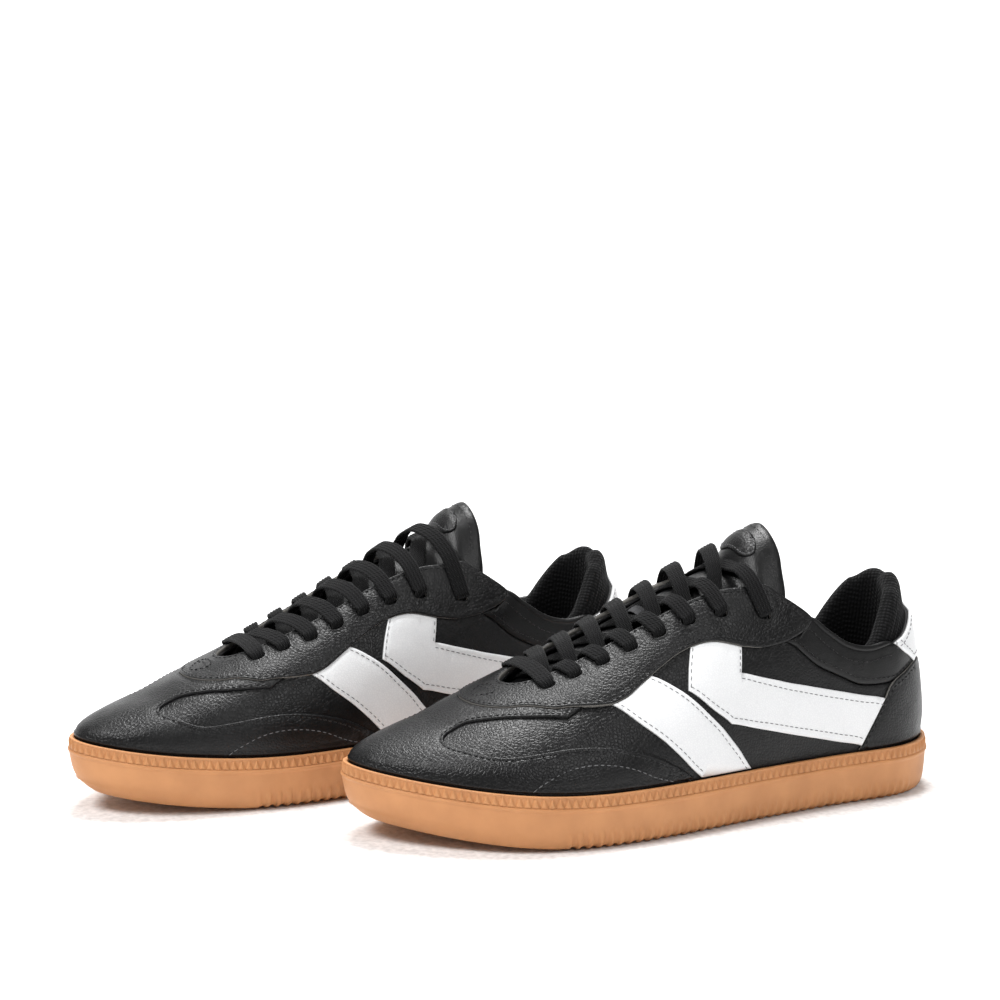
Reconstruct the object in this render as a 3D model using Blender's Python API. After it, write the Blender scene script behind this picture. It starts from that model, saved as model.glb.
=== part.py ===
# A pair of low court trainers with rubber cup soles: left and right shoe, laced and standing on the floor.
# Sizes are in millimetres here, and MM turns them into metres. Toes point to -Y, +Z is up.
# Within a shoe, "back" runs from the heel (0) to the toe, "out" runs to the outer side of the foot,
# and "up" runs from the floor. The right shoe is the mirror of the left.
import math

import bpy
import numpy as np
from mathutils import Vector
from mathutils.geometry import delaunay_2d_cdt

MM = 0.001

# Driving sizes of one shoe
SOLE_LENGTH = 292.0
SOLE_HEIGHT = 24.0
BALL_WIDTH = 104.0
HEEL_WIDTH = 73.0
TOE_SPRING = 10.0
UPPER_HEIGHT = 98.0

# Placing of the pair
CENTRE_TO_CENTRE = 115.3
STAGGER = 96.6

# Sole
SOLE_WALL = 3.0
SOLE_BOTTOM = 4.0
SOLE_RIM = 0.5
TOE_UNDERCUT = 8.0
WEDGE_HEIGHT = 4.6
BOARD_THICKNESS = 2.0
INSOLE_THICKNESS = 4.2

# Upper layers, as distances out from the outer face of the base leather
CLEAR = 0.8
LEATHER = 1.2
OVERLAY_GAP = 1.25
OVERLAY = 1.2
STIFFENER_GAP = 1.85
STIFFENER = 0.7
LINING_GAP = 1.65
LINING_OUTER = -(LEATHER + STIFFENER_GAP + STIFFENER + LINING_GAP)
LINING = 1.1
COLLAR_PAD = 4.4
SEAM_GAP = 0.5

# Lacing
ROWS = 8
LACE_WIDTH = 6.4
LACE_THICK = 1.2
SLOT_CLEAR = 1.25
HOLE_LONG = LACE_WIDTH + 2 * SLOT_CLEAR
HOLE_SHORT = LACE_THICK + 4.6
SLOT_SHIFT = 0.6
AGLET_LENGTH = 18.0
AGLET_WIDTH = LACE_WIDTH - 1.6
AGLET_THICK = LACE_THICK + 0.5
TAIL = 13.0

# Tongue
TONGUE_OUTER = -(LEATHER + 3.4)
TONGUE_THICK = 3.0
FLAP_RISE = 6.0
FLAP_THICK = 5.5

# Mesh steps
AROUND = 48
TOE_CELL = 8.0
FORE_CELL = 11.5
REAR_CELL = 15.0
HEEL_CELL = 9.0
EDGE_STEP = 11.0

UPPER_INSET = SOLE_WALL + CLEAR
MID = 0.5 * (BALL_WIDTH - HEEL_WIDTH)

# The pattern is drafted at this size, then graded to the driving sizes.
DRAFT_LENGTH = 292.0
DRAFT_BALL = 104.0
DRAFT_INSET = 3.8
DRAFT_SOLE = 24.0
DRAFT_UPPER = 98.0


def run_at(run):
    room = (SOLE_LENGTH - 2 * UPPER_INSET) / (DRAFT_LENGTH - 2 * DRAFT_INSET)
    return UPPER_INSET + (run - DRAFT_INSET) * room


def up_at(up):
    return SOLE_HEIGHT + (up - DRAFT_SOLE) * UPPER_HEIGHT / DRAFT_UPPER


def out_at(out):
    return out * BALL_WIDTH / DRAFT_BALL


def straight(points):
    """Points along straight lines between the given ones, about 12 mm apart."""
    found = [points[0]]
    for first, last in zip(points[:-1], points[1:]):
        count = max(1, round(math.hypot(last[0] - first[0], last[1] - first[1]) / 12.0))
        for k in range(1, count + 1):
            share = k / count
            found.append((first[0] + (last[0] - first[0]) * share, first[1] + (last[1] - first[1]) * share))
    return found


def graded(points):
    """Draft points (run, height) at the driving sizes."""
    return [(run_at(run), up_at(up)) for run, up in points]


def graded_out(points):
    """Draft points (run, distance outward) at the driving sizes."""
    return [(run_at(run), out_at(out)) for run, out in points]


def scene_cleared():
    for thing in list(bpy.data.objects):
        bpy.data.objects.remove(thing, do_unlink=True)


def through(points, x):
    """A smooth curve through the points that doesn't overshoot, read at x."""
    px = np.array([p[0] for p in points], float)
    py = np.array([p[1] for p in points], float)
    x = np.clip(np.asarray(x, float), px[0], px[-1])
    gap = np.diff(px)
    rise = np.diff(py) / gap
    inner = (rise[:-1] * gap[1:] + rise[1:] * gap[:-1]) / (gap[:-1] + gap[1:])
    slope = np.concatenate([[rise[0]], inner, [rise[-1]]])
    i = np.clip(np.searchsorted(px, x, side="right") - 1, 0, len(gap) - 1)
    t = (x - px[i]) / gap[i]
    near = (1 + 2 * t) * (1 - t) ** 2 * py[i] + t * (1 - t) ** 2 * gap[i] * slope[i]
    far = t * t * (3 - 2 * t) * py[i + 1] + t * t * (t - 1) * gap[i] * slope[i + 1]
    return near + far


# The shape of the last. Runs are fractions of the sole length, widths go from heel width to ball width.
HALF_WIDTH = [(0.0, -0.1), (0.1, -0.03), (0.257, 0.065), (0.377, 0.29), (0.514, 0.71), (0.616, 0.97)]
HALF_WIDTH += [(0.709, 1.0), (0.805, 0.84), (0.897, 0.52), (1.0, 0.0)]
MIDLINE = [(0.0, 0.0), (0.205, 0.019), (0.377, 0.04), (0.514, 0.046), (0.616, 0.04)]
MIDLINE += [(0.709, 0.031), (0.805, 0.01), (0.897, -0.038), (1.0, -0.096)]
CREST_LINE = [(0.0, 0.0), (0.48, 0.0), (0.6, -0.029), (0.736, -0.0625), (0.84, -0.072), (1.0, -0.096)]
CREST = [(-0.03, 1.68), (0.1, 1.49), (0.205, 1.25), (0.308, 1.06), (0.377, 0.945), (0.445, 0.86)]
CREST += [(0.514, 0.745), (0.582, 0.63), (0.65, 0.525), (0.72, 0.425), (0.77, 0.355), (0.822, 0.283)]
CREST += [(0.873, 0.203), (0.925, 0.15), (1.0, 0.094)]
BACK_LEAN = [(0, 0.0), (24, 0.0), (35, -0.9), (50, 0.5), (70, 4.5), (90, 8.5), (102, 10.5), (150, 18)]
HEEL_ROUND = 42.0
TOE_ROUND = 92.0
NOSE = 34.0
FULLNESS = 2.15


def half_sole(run):
    """Half the sole's width before its ends are rounded."""
    share = through(HALF_WIDTH, run / SOLE_LENGTH)
    return 0.5 * (HEEL_WIDTH + 2 * MID * share)


def midline(run):
    return through(MIDLINE, run / SOLE_LENGTH) * BALL_WIDTH


def rounded(run, first, last):
    heel = np.clip((first + HEEL_ROUND - run) / HEEL_ROUND, 0, 1)
    toe = np.clip((run - last + TOE_ROUND) / TOE_ROUND, 0, 1)
    return np.sqrt(1 - heel ** 2.3) * np.sqrt(1 - toe ** 2.6)


def spring(run):
    return TOE_SPRING * np.clip((run - 0.65 * SOLE_LENGTH) / (0.35 * SOLE_LENGTH), 0, 1.1) ** 1.8


def back_at(up):
    return UPPER_INSET + through(BACK_LEAN, DRAFT_SOLE + (up - SOLE_HEIGHT) * DRAFT_UPPER / UPPER_HEIGHT)


def crest(run):
    """Height of the upper's ridge above the floor, with the sole laid flat."""
    share = through(CREST, run / SOLE_LENGTH)
    toe = np.clip((run - (SOLE_LENGTH - UPPER_INSET - NOSE)) / NOSE, 0, 1)
    return SOLE_HEIGHT + share * UPPER_HEIGHT * np.sqrt(1 - toe ** 2.4)


FRONT_RUN = np.linspace(run_at(60.0), SOLE_LENGTH - UPPER_INSET, 4001)
FRONT_UP = crest(FRONT_RUN)


def front_at(up):
    return np.interp(-np.asarray(up, float), -FRONT_UP, FRONT_RUN)


def level_share(run, up):
    return np.clip((up - SOLE_HEIGHT) / np.maximum(crest(run) - SOLE_HEIGHT, 1e-6), 0, 1)


def half_upper(run, up):
    first = back_at(up)
    shift = (first - UPPER_INSET) * np.clip(1 - (run - first) / (0.31 * SOLE_LENGTH), 0, 1) ** 2
    base = (half_sole(run - shift) - UPPER_INSET) * rounded(run - shift, UPPER_INSET, SOLE_LENGTH - UPPER_INSET)
    return base * np.sqrt(1 - level_share(run, up) ** FULLNESS)


def centre_upper(run, up):
    low = midline(run)
    high = through(CREST_LINE, run / SOLE_LENGTH) * BALL_WIDTH
    return low + (high - low) * level_share(run, up) ** 1.5


# The flat pattern sheet. Each height of the upper is one oval on it, lower heights outside higher ones,
# so every panel is cut on the flat sheet and then laid on the last.
SHEET_TOP = up_at(140.0)
SHEET_SPREAD = 0.6
SHEET_HALF = 42.0


def oval(up):
    back = back_at(up)
    front = front_at(up)
    spread = SHEET_SPREAD * (SHEET_TOP - up)
    return 0.5 * (back + front), 0.5 * (front - back) + spread, SHEET_HALF + spread, back, front


def side_point(run, up, side=1):
    """Sheet point of a place on the side, by its run and height."""
    mid, long, wide, back, front = oval(up)
    turn = 1 - 2 * np.clip((run - back) / (front - back), 0, 1)
    return np.array([mid - long * turn, side * wide * math.sqrt(max(1 - turn ** 2, 0))])


def top_point(run, out, side=1):
    """Sheet point of a place seen from above, by its run and its distance outward from the lacing line."""
    run = float(run)
    place = lacing_line(run) + side * out
    low = 0.0
    high = float(crest(run)) - SOLE_HEIGHT
    facing = 1.0 if place >= float(centre_upper(run, SOLE_HEIGHT + high)) else -1.0
    for _ in range(40):
        up = SOLE_HEIGHT + 0.5 * (low + high)
        over = facing * (place - float(centre_upper(run, up))) - float(half_upper(run, up))
        if over > 0:
            high = up - SOLE_HEIGHT
        else:
            low = up - SOLE_HEIGHT
    return side_point(run, SOLE_HEIGHT + 0.5 * (low + high), facing)


LACING_LINE = [(0.0, 0.012), (0.42, 0.012), (0.5, 0.0), (0.6, -0.023), (0.7, -0.032), (0.83, -0.062), (1.0, -0.08)]


def lacing_line(run):
    return float(through(LACING_LINE, run / SOLE_LENGTH)) * BALL_WIDTH


def surface(sheet):
    """Places on the last (run, out, up) of sheet points."""
    sheet = np.atleast_2d(sheet)
    low = np.full(len(sheet), 1.0)
    high = np.full(len(sheet), SHEET_TOP - 1.0)
    for _ in range(44):
        up = 0.5 * (low + high)
        mid, long, wide, back, front = oval(up)
        outside = ((sheet[:, 0] - mid) / long) ** 2 + (sheet[:, 1] / wide) ** 2 > 1
        high = np.where(outside, up, high)
        low = np.where(outside, low, up)
    up = 0.5 * (low + high)
    mid, long, wide, back, front = oval(up)
    turn = np.clip((sheet[:, 0] - mid) / long, -1, 1)
    run = back + (front - back) * 0.5 * (1 + turn)
    side = np.where(sheet[:, 1] >= 0, 1.0, -1.0)
    out = centre_upper(run, up) + side * half_upper(run, up)
    return np.stack([run, out, up + spring(run)], axis=1)


def facing_out(sheet):
    """Outward directions of the last at sheet points."""
    sheet = np.atleast_2d(sheet)
    step = 0.6
    along = surface(sheet + [step, 0]) - surface(sheet - [step, 0])
    across = surface(sheet + [0, step]) - surface(sheet - [0, step])
    normal = np.cross(along, across)
    return normal / np.linalg.norm(normal, axis=1)[:, None]


def laid(sheet, lift):
    return surface(sheet) + facing_out(sheet) * np.reshape(lift, (-1, 1))


# Outlines on the sheet
def curve(points, step=EDGE_STEP):
    """A smooth line through sheet points, sampled about every step, without its last point."""
    points = np.array(points, float)
    if len(points) == 2:
        real = surface(points)
        count = max(1, int(round(np.linalg.norm(real[1] - real[0]) / step)))
        t = np.arange(count)[:, None] / count
        return points[0] + (points[1] - points[0]) * t
    padded = np.vstack([2 * points[0] - points[1], points, 2 * points[-1] - points[-2]])
    found = []
    for i in range(1, len(padded) - 2):
        p0, p1, p2, p3 = padded[i - 1:i + 3]
        for t in np.arange(24) / 24:
            a = 2 * p1 + (p2 - p0) * t
            b = (2 * p0 - 5 * p1 + 4 * p2 - p3) * t ** 2 + (3 * p1 - p0 - 3 * p2 + p3) * t ** 3
            found.append(0.5 * (a + b))
    found = np.array(found + [points[-1]])
    real = surface(found)
    length = np.concatenate([[0], np.cumsum(np.linalg.norm(np.diff(real, axis=0), axis=1))])
    count = max(2, int(round(length[-1] / step)))
    at = np.linspace(0, length[-1], count + 1)[:-1]
    return np.stack([np.interp(at, length, found[:, 0]), np.interp(at, length, found[:, 1])], axis=1)


def angle_on(up, run, side):
    """The angle round a height's oval of a place on one side."""
    mid, long, wide, back, front = oval(up)
    return side * math.acos(np.clip(2 * (run - back) / (front - back) - 1, -1, 1))


def inside(points, loop):
    """Which points lie inside a closed loop."""
    x, y = points[:, 0][:, None], points[:, 1][:, None]
    x0, y0 = loop[:, 0][None], loop[:, 1][None]
    x1, y1 = np.roll(loop[:, 0], -1)[None], np.roll(loop[:, 1], -1)[None]
    crosses = (y0 > y) != (y1 > y)
    with np.errstate(divide="ignore", invalid="ignore"):
        at = x0 + (y - y0) / (y1 - y0) * (x1 - x0)
    return (np.sum(crosses & (x < at), axis=1) % 2) == 1


def distance_to(points, loop):
    first = loop[None]
    span = np.roll(loop, -1, axis=0)[None] - first
    away = points[:, None] - first
    t = np.clip(np.sum(away * span, 2) / np.maximum(np.sum(span * span, 2), 1e-12), 0, 1)
    return np.min(np.linalg.norm(away - span * t[..., None], axis=2), axis=1)


def sheet_grid():
    """Points spread over the whole sheet, closer together where the last is rounder."""
    step = 3.0
    rows = []
    for j in range(-62, 63):
        xs = (np.arange(-30, 145) + 0.5 * (j % 2)) * step
        rows.append(np.stack([xs, np.full(len(xs), j * step * 0.866)], axis=1))
    flat = np.vstack(rows)
    mid, long, wide, back, front = oval(5.0)
    flat = flat[((flat[:, 0] - mid) / long) ** 2 + (flat[:, 1] / wide) ** 2 < 1]
    flat = flat[np.argsort(np.hypot(flat[:, 0] - 0.6 * SOLE_LENGTH, flat[:, 1]), kind="stable")]
    real = surface(flat)
    marks = np.array([0.12, 0.2, 0.62, 0.7, 0.8, 0.86]) * SOLE_LENGTH
    cell = np.interp(real[:, 0], marks, [HEEL_CELL, REAR_CELL, REAR_CELL, FORE_CELL, FORE_CELL, TOE_CELL])
    kept = []
    for i in range(len(flat)):
        if kept:
            gap = np.linalg.norm(real[kept] - real[i], axis=1)
            if gap.min() < cell[i]:
                continue
        kept.append(i)
    return flat[kept], cell[kept]


GRID, GRID_CELL = None, None


def cut_sheet(loop, holes=()):
    """Flat points and triangles of a panel cut from the sheet."""
    points = [loop]
    edges = [(i, (i + 1) % len(loop)) for i in range(len(loop))]
    for hole in holes:
        first = sum(len(p) for p in points)
        points.append(hole)
        edges += [(first + i, first + (i + 1) % len(hole)) for i in range(len(hole))]
    grid = GRID
    keep = inside(grid, loop) & (distance_to(grid, loop) > 0.45 * GRID_CELL)
    for hole in holes:
        keep &= ~inside(grid, hole) & (distance_to(grid, hole) > 0.3 * GRID_CELL)
    points.append(grid[keep])
    flat = np.vstack(points)
    made = delaunay_2d_cdt([Vector(p) for p in flat], edges, [], 0, 1e-5)
    flat = np.array([tuple(v) for v in made[0]])
    faces = np.array([list(f) for f in made[2]])
    middle = flat[faces].mean(axis=1)
    keep = inside(middle, loop)
    for hole in holes:
        keep &= ~inside(middle, hole)
    corner = flat[faces]
    edge_1 = corner[:, 1] - corner[:, 0]
    edge_2 = corner[:, 2] - corner[:, 0]
    area = edge_1[:, 0] * edge_2[:, 1] - edge_1[:, 1] * edge_2[:, 0]
    faces = faces[keep & (np.abs(area) > 1e-4)]
    area = area[keep & (np.abs(area) > 1e-4)]
    faces[area < 0] = faces[area < 0][:, ::-1]
    used = np.unique(faces)
    number = np.full(len(flat), -1)
    number[used] = np.arange(len(used))
    return flat[used], number[faces]


def rim_edges(faces):
    seen = {}
    for a, b, c in faces:
        for edge in ((a, b), (b, c), (c, a)):
            seen[edge] = True
    return [edge for edge in seen if (edge[1], edge[0]) not in seen]


def thickened(flat, faces, inner, outer):
    """A closed panel: the cut sheet laid on the last at two lifts and joined round its rim."""
    inner = inner(flat) if callable(inner) else inner
    outer = outer(flat) if callable(outer) else outer
    count = len(flat)
    points = np.vstack([laid(flat, outer), laid(flat, inner)])
    made = [tuple(f) for f in faces]
    made += [(f[2] + count, f[1] + count, f[0] + count) for f in faces]
    for a, b in rim_edges(faces):
        made.append((a, a + count, b + count, b))
    return points, made


PIECES = []


def material(name, colour, roughness, metallic=0.0):
    made = bpy.data.materials.get(name)
    if made is None:
        made = bpy.data.materials.new(name)
        made.use_nodes = True
        shader = made.node_tree.nodes["Principled BSDF"]
        shader.inputs["Base Color"].default_value = (*colour, 1.0)
        shader.inputs["Roughness"].default_value = roughness
        shader.inputs["Metallic"].default_value = metallic
    return made


def placed(points, right):
    """World places of shoe points (run, out, up)."""
    points = np.asarray(points, float)
    total = SOLE_LENGTH + STAGGER
    start = 0.5 * total - (STAGGER if right else 0.0)
    x = 0.5 * CENTRE_TO_CENTRE + points[:, 1]
    if right:
        x = -x
    return np.stack([x, start - points[:, 0], points[:, 2]], axis=1) * MM


def add(name, points, faces, look):
    """Both shoes' copies of one piece."""
    for right in (False, True):
        label = ("right_" if right else "left_") + name
        mesh = bpy.data.meshes.new(label)
        turned = [tuple(reversed(f)) for f in faces] if right else [tuple(f) for f in faces]
        mesh.from_pydata([tuple(p) for p in placed(points, right)], [], turned)
        mesh.update()
        thing = bpy.data.objects.new(label, mesh)
        bpy.context.scene.collection.objects.link(thing)
        tone = material(label, *look)
        mesh.materials.append(tone)
        PIECES.append(thing)


def add_panel(name, loop, inner, outer, look, holes=()):
    flat, faces = cut_sheet(loop, holes)
    points, made = thickened(flat, faces, inner, outer)
    add(name, points, made, look)


# Looks
GUM = ((0.72, 0.36, 0.14), 0.6)
BLACK = ((0.012, 0.012, 0.013), 0.45)
WHITE = ((0.8, 0.8, 0.8), 0.45)
CLOTH = ((0.015, 0.015, 0.016), 0.9)
FOAM = ((0.55, 0.55, 0.52), 0.9)
BOARD = ((0.5, 0.42, 0.3), 0.85)
GREY = ((0.1, 0.1, 0.105), 0.6)
PLASTIC = ((0.02, 0.02, 0.02), 0.3)


# Sole pieces are stacks of rings, each ring half outer side and half inner side of the foot.
def ring(up, inset, flex=True, low=0.0):
    angle = np.linspace(0, math.pi, AROUND // 2 + 1)
    run = 0.5 * SOLE_LENGTH * (1 - np.cos(angle))
    toe = np.clip((run - 0.73 * SOLE_LENGTH) / (0.27 * SOLE_LENGTH), 0, 1)
    drawn = inset + low * TOE_UNDERCUT * toe ** 1.5
    scale = 1 - 2 * drawn / SOLE_LENGTH
    middle = 0.5 * SOLE_LENGTH
    moved = middle + (run - middle) * scale
    half = np.maximum(half_sole(run) - drawn, 1.0) * rounded(run, 0.0, SOLE_LENGTH)
    lift = spring(moved) if flex else 0.0
    outer = np.stack([moved, midline(moved) + half, up + lift], axis=1)
    inner = np.stack([moved, midline(moved) - half, up + lift], axis=1)
    return np.vstack([outer, inner[1:-1][::-1]])


def stacked(rings):
    """A closed body from rings that run from its underside centre over the outside to its top."""
    count = len(rings[0])
    half = count // 2
    points = np.vstack(rings)
    faces = []
    for k in range(len(rings) - 1):
        for i in range(count):
            j = (i + 1) % count
            a, b = k * count + i, k * count + j
            faces.append((a, b, b + count, a + count))
    for k, turn in ((0, True), (len(rings) - 1, False)):
        base = k * count
        faces_here = [(base, base + 1, base + count - 1)]
        for i in range(1, half - 1):
            a, b = base + i, base + i + 1
            c, d = base + count - i - 1, base + count - i
            faces_here.append((a, b, c, d))
        faces_here.append((base + half - 1, base + half, base + half + 1))
        faces += [tuple(reversed(f)) for f in faces_here] if turn else faces_here
    return points, faces


def sole():
    rings = [
        ring(0.0, 4.6, low=1.0),
        ring(1.3, 2.4, low=0.8),
        ring(4.0, 1.3, low=0.45),
        ring(8.5, 0.7, low=0.15),
        ring(SOLE_HEIGHT - 6.8, 0.2),
        ring(SOLE_HEIGHT - 5.8, -0.2),
        ring(SOLE_HEIGHT - 4.8, 0.2),
        ring(SOLE_HEIGHT, SOLE_RIM),
        ring(SOLE_HEIGHT, SOLE_WALL),
        ring(SOLE_BOTTOM + 1.5, SOLE_WALL),
        ring(SOLE_BOTTOM, SOLE_WALL + 6.0),
    ]
    points, faces = stacked(rings)
    add("outsole", points, [tuple(reversed(f)) for f in faces], GUM)
    inset = SOLE_WALL + 6.4
    wedge = [
        ring(SOLE_BOTTOM + 0.4, inset + 0.4),
        ring(SOLE_BOTTOM + 1.9, SOLE_WALL + 2.4),
        ring(SOLE_BOTTOM + 0.4 + WEDGE_HEIGHT, SOLE_WALL + 1.2),
    ]
    points, faces = stacked(wedge)
    add("midsole_wedge", points, [tuple(reversed(f)) for f in faces], FOAM)
    board_low = SOLE_BOTTOM + 0.4 + WEDGE_HEIGHT + 0.5
    inner = UPPER_INSET + LEATHER + 0.9
    board = [ring(board_low, inner), ring(board_low + BOARD_THICKNESS, inner)]
    points, faces = stacked(board)
    add("lasting_board", points, [tuple(reversed(f)) for f in faces], BOARD)
    low = board_low + BOARD_THICKNESS + 0.4
    insole = [ring(low, inner + 0.5), ring(low + INSOLE_THICKNESS, inner + 0.5)]
    points, faces = stacked(insole)
    add("insole", points, [tuple(reversed(f)) for f in faces], CLOTH)
    return low + INSOLE_THICKNESS


# Lines that the upper's panels share. Each is given for one side of the foot, and the other side mirrors it.
WELT = up_at(24.8)
TUCK = SOLE_BOTTOM + WEDGE_HEIGHT + 1.6
ROW_RUN = [run_at(run) for run in (205.0, 193.0, 180.0, 167.0, 153.5, 139.5, 124.5, 103.5)]
ROW_OUT = [out_at(out) for out in (20.5, 22.5, 24.0, 24.5, 24.5, 25.0, 25.6, 27.4)]
SEAM_HEAD = run_at(173.5)
HEAD_OUT = out_at(16.9)
THROAT_FRONT = graded_out([(218.0, 0.0), (216.8, 5.0), (212.5, 9.6), (205.0, 12.5), (193.0, 14.8), (180.0, 16.4)])
THROAT_FRONT += [(SEAM_HEAD, HEAD_OUT)]
THROAT_REAR = [(SEAM_HEAD, HEAD_OUT)]
THROAT_REAR += graded_out([(167.0, 17.2), (153.5, 17.5), (139.5, 18.0), (124.5, 18.8)])
THROAT_REAR += graded_out([(110.0, 20.4), (100.0, 21.6)])
TOP_EDGE = graded([(94.0, 99.6), (87.0, 95.0), (79.0, 88.6)])
TOPLINE = graded([(79.0, 88.6), (70.0, 81.2), (59.0, 74.0), (47.0, 71.4), (33.5, 72.4)])
TAB_EDGE = graded([(33.5, 72.4), (26.5, 75.2), (21.0, 79.6), (17.0, 84.6)])
TAB_TOP = up_at(88.0)
EYESTAY_TIP = graded_out([(236.0, 0.0), (235.2, 7.0), (232.0, 14.0), (226.0, 20.5), (218.0, 25.0)])
EYESTAY_SIDE = graded([(209.0, 56.6), (202.4, 57.5), (192.0, 58.2), (184.6, 58.8)])
STRIPE_HEAD = graded([(184.6, 58.8), (177.3, 61.4), (169.5, 66.0), (163.7, 69.4)])
EYESTAY_HOLLOW = graded([(163.7, 69.4), (157.0, 73.2), (150.0, 77.0), (142.6, 80.0)])
ARROW_HEAD = graded([(142.6, 80.0), (136.5, 81.4), (130.7, 81.7), (124.0, 80.4), (117.5, 78.6)])
EYESTAY_REAR = graded([(117.5, 78.6), (110.0, 77.4), (104.7, 77.2), (96.6, 78.2), (93.5, 78.8)])
EYESTAY_HEEL = graded([(93.5, 78.8), (86.0, 81.6), (81.0, 84.6), (79.0, 88.6)])
COLLAR_SEAM = graded([(93.5, 78.8), (77.2, 66.6), (59.5, 57.8), (48.0, 54.6), (35.0, 54.4), (26.0, 57.5), (14.0, 60.0)])
BACK_SEAM_TOP = up_at(61.0)
HEEL_MARK = up_at(62.0)
SEAM_FOOT = run_at(131.0)
SEAM = [(SEAM_FOOT, TUCK), (SEAM_FOOT, WELT)] + graded([(137.0, 40.0), (148.0, 56.0), (163.0, 66.5), (172.0, 70.5)])
MUDGUARD_FOOT = run_at(149.0)
MUDGUARD = [(MUDGUARD_FOOT, WELT)]
MUDGUARD += graded([(153.5, 28.6), (160.5, 32.8), (170.0, 37.6), (180.6, 40.7), (196.4, 43.1)])
MUDGUARD += graded([(209.7, 42.5), (226.8, 39.4), (238.7, 37.6)])
LOBE = graded_out([(249.0, 32.8), (255.0, 24.5), (252.5, 18.5), (244.0, 17.8), (234.0, 23.0), (222.0, 29.5)])
LOBE_MEDIAL = graded_out([(247.5, 28.0), (254.0, 21.0), (252.0, 16.5), (244.0, 16.8), (234.0, 22.0), (222.0, 28.5)])
LOBE_TAIL = graded([(205.0, 54.0)])
FRONT_STRIPE_REAR = graded([(163.7, 69.4), (153.5, 64.0), (141.4, 53.8), (130.5, 42.6), (122.3, 32.4), (117.0, 24.8)])
FRONT_STRIPE_FRONT = graded([(145.5, 24.8), (152.4, 31.2), (162.8, 41.5), (174.8, 51.2), (184.6, 58.8)])
ARROW_NOTCH = graded([(117.5, 78.6), (119.6, 67.7)])
ARROW_TOP = graded(straight([(119.6, 67.7), (90.1, 59.8), (39.5, 47.6)]))
ARROW_END = graded([(39.5, 47.6), (46.0, 37.5), (53.0, 26.6)])
ARROW_FOOT = graded(straight([(53.0, 26.6), (90.9, 36.2), (127.5, 46.0)]))
ARROW_FRONT = graded(straight([(127.5, 46.0), (148.4, 62.6)]))
ARROW_TIP = graded([(148.4, 62.6), (145.9, 71.5), (142.6, 80.0)])
COUNTER_EDGE = graded([(54.5, 24.8), (53.0, 26.6), (46.0, 37.5), (39.5, 47.6), (35.0, 54.4), (26.0, 58.6), (18.0, 61.3)])
COUNTER_TOP = graded([(18.0, 61.3), (12.0, 62.0)])
TAB_FRONT = graded([(18.0, 61.3), (26.0, 67.0), (33.5, 72.4)])
RIM = graded([(112.0, 76.0), (104.0, 84.0), (96.0, 89.5), (88.0, 91.5), (80.0, 88.0), (70.0, 80.0), (59.0, 73.2)])
RIM += graded([(49.0, 71.2), (42.0, 75.0), (36.0, 83.0), (30.0, 91.0), (25.0, 96.5), (20.0, 99.3), (0.0, 100.5)])
LINING_SPLIT = run_at(112.0)
LINING_THROAT = graded_out([(130.0, 37.0), (155.0, 34.0), (185.0, 31.0), (208.0, 27.0), (226.0, 14.0), (230.0, 0.0)])
PUFF_RUN = run_at(236.0)
PUFF_SIDE = graded([(240.0, 36.0)])
PUFF_TOP = graded_out([(246.0, 14.0), (247.0, 0.0)])
COUNTER_ARM = run_at(62.0)
STIFFENER_SIDE = graded([(58.0, 38.0), (40.0, 50.0), (22.0, 56.0), (0.0, 58.0)])

TONGUE_EDGE = graded_out([(221.0, 9.0), (214.0, 15.0), (206.0, 21.0), (185.0, 27.0), (160.0, 29.0), (135.0, 28.5)])
TONGUE_EDGE += graded_out([(120.0, 25.0), (108.0, 21.0)])
FLAP_EDGE = graded_out([(106.8, 18.0), (101.0, 18.6), (96.0, 19.0), (91.5, 18.6), (89.5, 16.5), (91.0, 13.0)])
FLAP_EDGE += graded_out([(93.0, 8.0), (94.0, 0.0)])
PATCH_EDGE = graded_out([(105.5, 6.0), (104.5, 10.0), (101.0, 12.5), (98.0, 11.5), (96.0, 7.0), (95.5, 0.0)])


TAIL_TOP = up_at(83.0)
FLAP_START = run_at(108.0)
FLAP_FRONT = run_at(106.8)


class Line:
    """A sampled line on the sheet that two panels can share."""

    def __init__(self, points, by="up", step=EDGE_STEP):
        self.parts = {}
        for side in (1, -1):
            place = side_point if by == "up" else top_point
            self.parts[side] = sampled([place(p[0], p[1], side) for p in points], step)

    def on(self, side, back=False):
        line = self.parts[side]
        return line[::-1] if back else line


def sampled(points, step=EDGE_STEP):
    return np.vstack([curve(points, step), points[-1]])


def ring_of(*lines):
    """One closed loop from lines that follow each other."""
    loop = []
    for line in lines:
        for point in line:
            if not loop or np.linalg.norm(point - loop[-1]) > 0.05:
                loop.append(point)
    if np.linalg.norm(loop[0] - loop[-1]) < 0.05:
        loop.pop()
    return np.array(loop)


def drawn_in(loop, gap):
    """The loop moved inward by a gap."""
    x, y = loop[:, 0], loop[:, 1]
    area = np.sum(x * np.roll(y, -1) - np.roll(x, -1) * y)
    ahead = np.roll(loop, -1, axis=0) - loop
    ahead /= np.linalg.norm(ahead, axis=1)[:, None]
    normal = np.stack([-ahead[:, 1], ahead[:, 0]], axis=1) * (1 if area > 0 else -1)
    before = np.roll(normal, 1, axis=0)
    mean = normal + before
    mean /= np.maximum(np.sum(mean * normal, axis=1), 0.35)[:, None]
    return loop + mean * gap


def mixed(points_top, points_side, step=EDGE_STEP):
    """A line whose first points are seen from above and whose last are heights on the side."""
    made = Line(TOPLINE)
    for side in (1, -1):
        first = [top_point(p[0], p[1], side) for p in points_top]
        last = [side_point(p[0], p[1], side) for p in points_side]
        made.parts[side] = sampled(first + last, step)
    return made


def heel_line(low, high):
    return sampled([side_point(0.0, low), side_point(0.0, high)])


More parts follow.
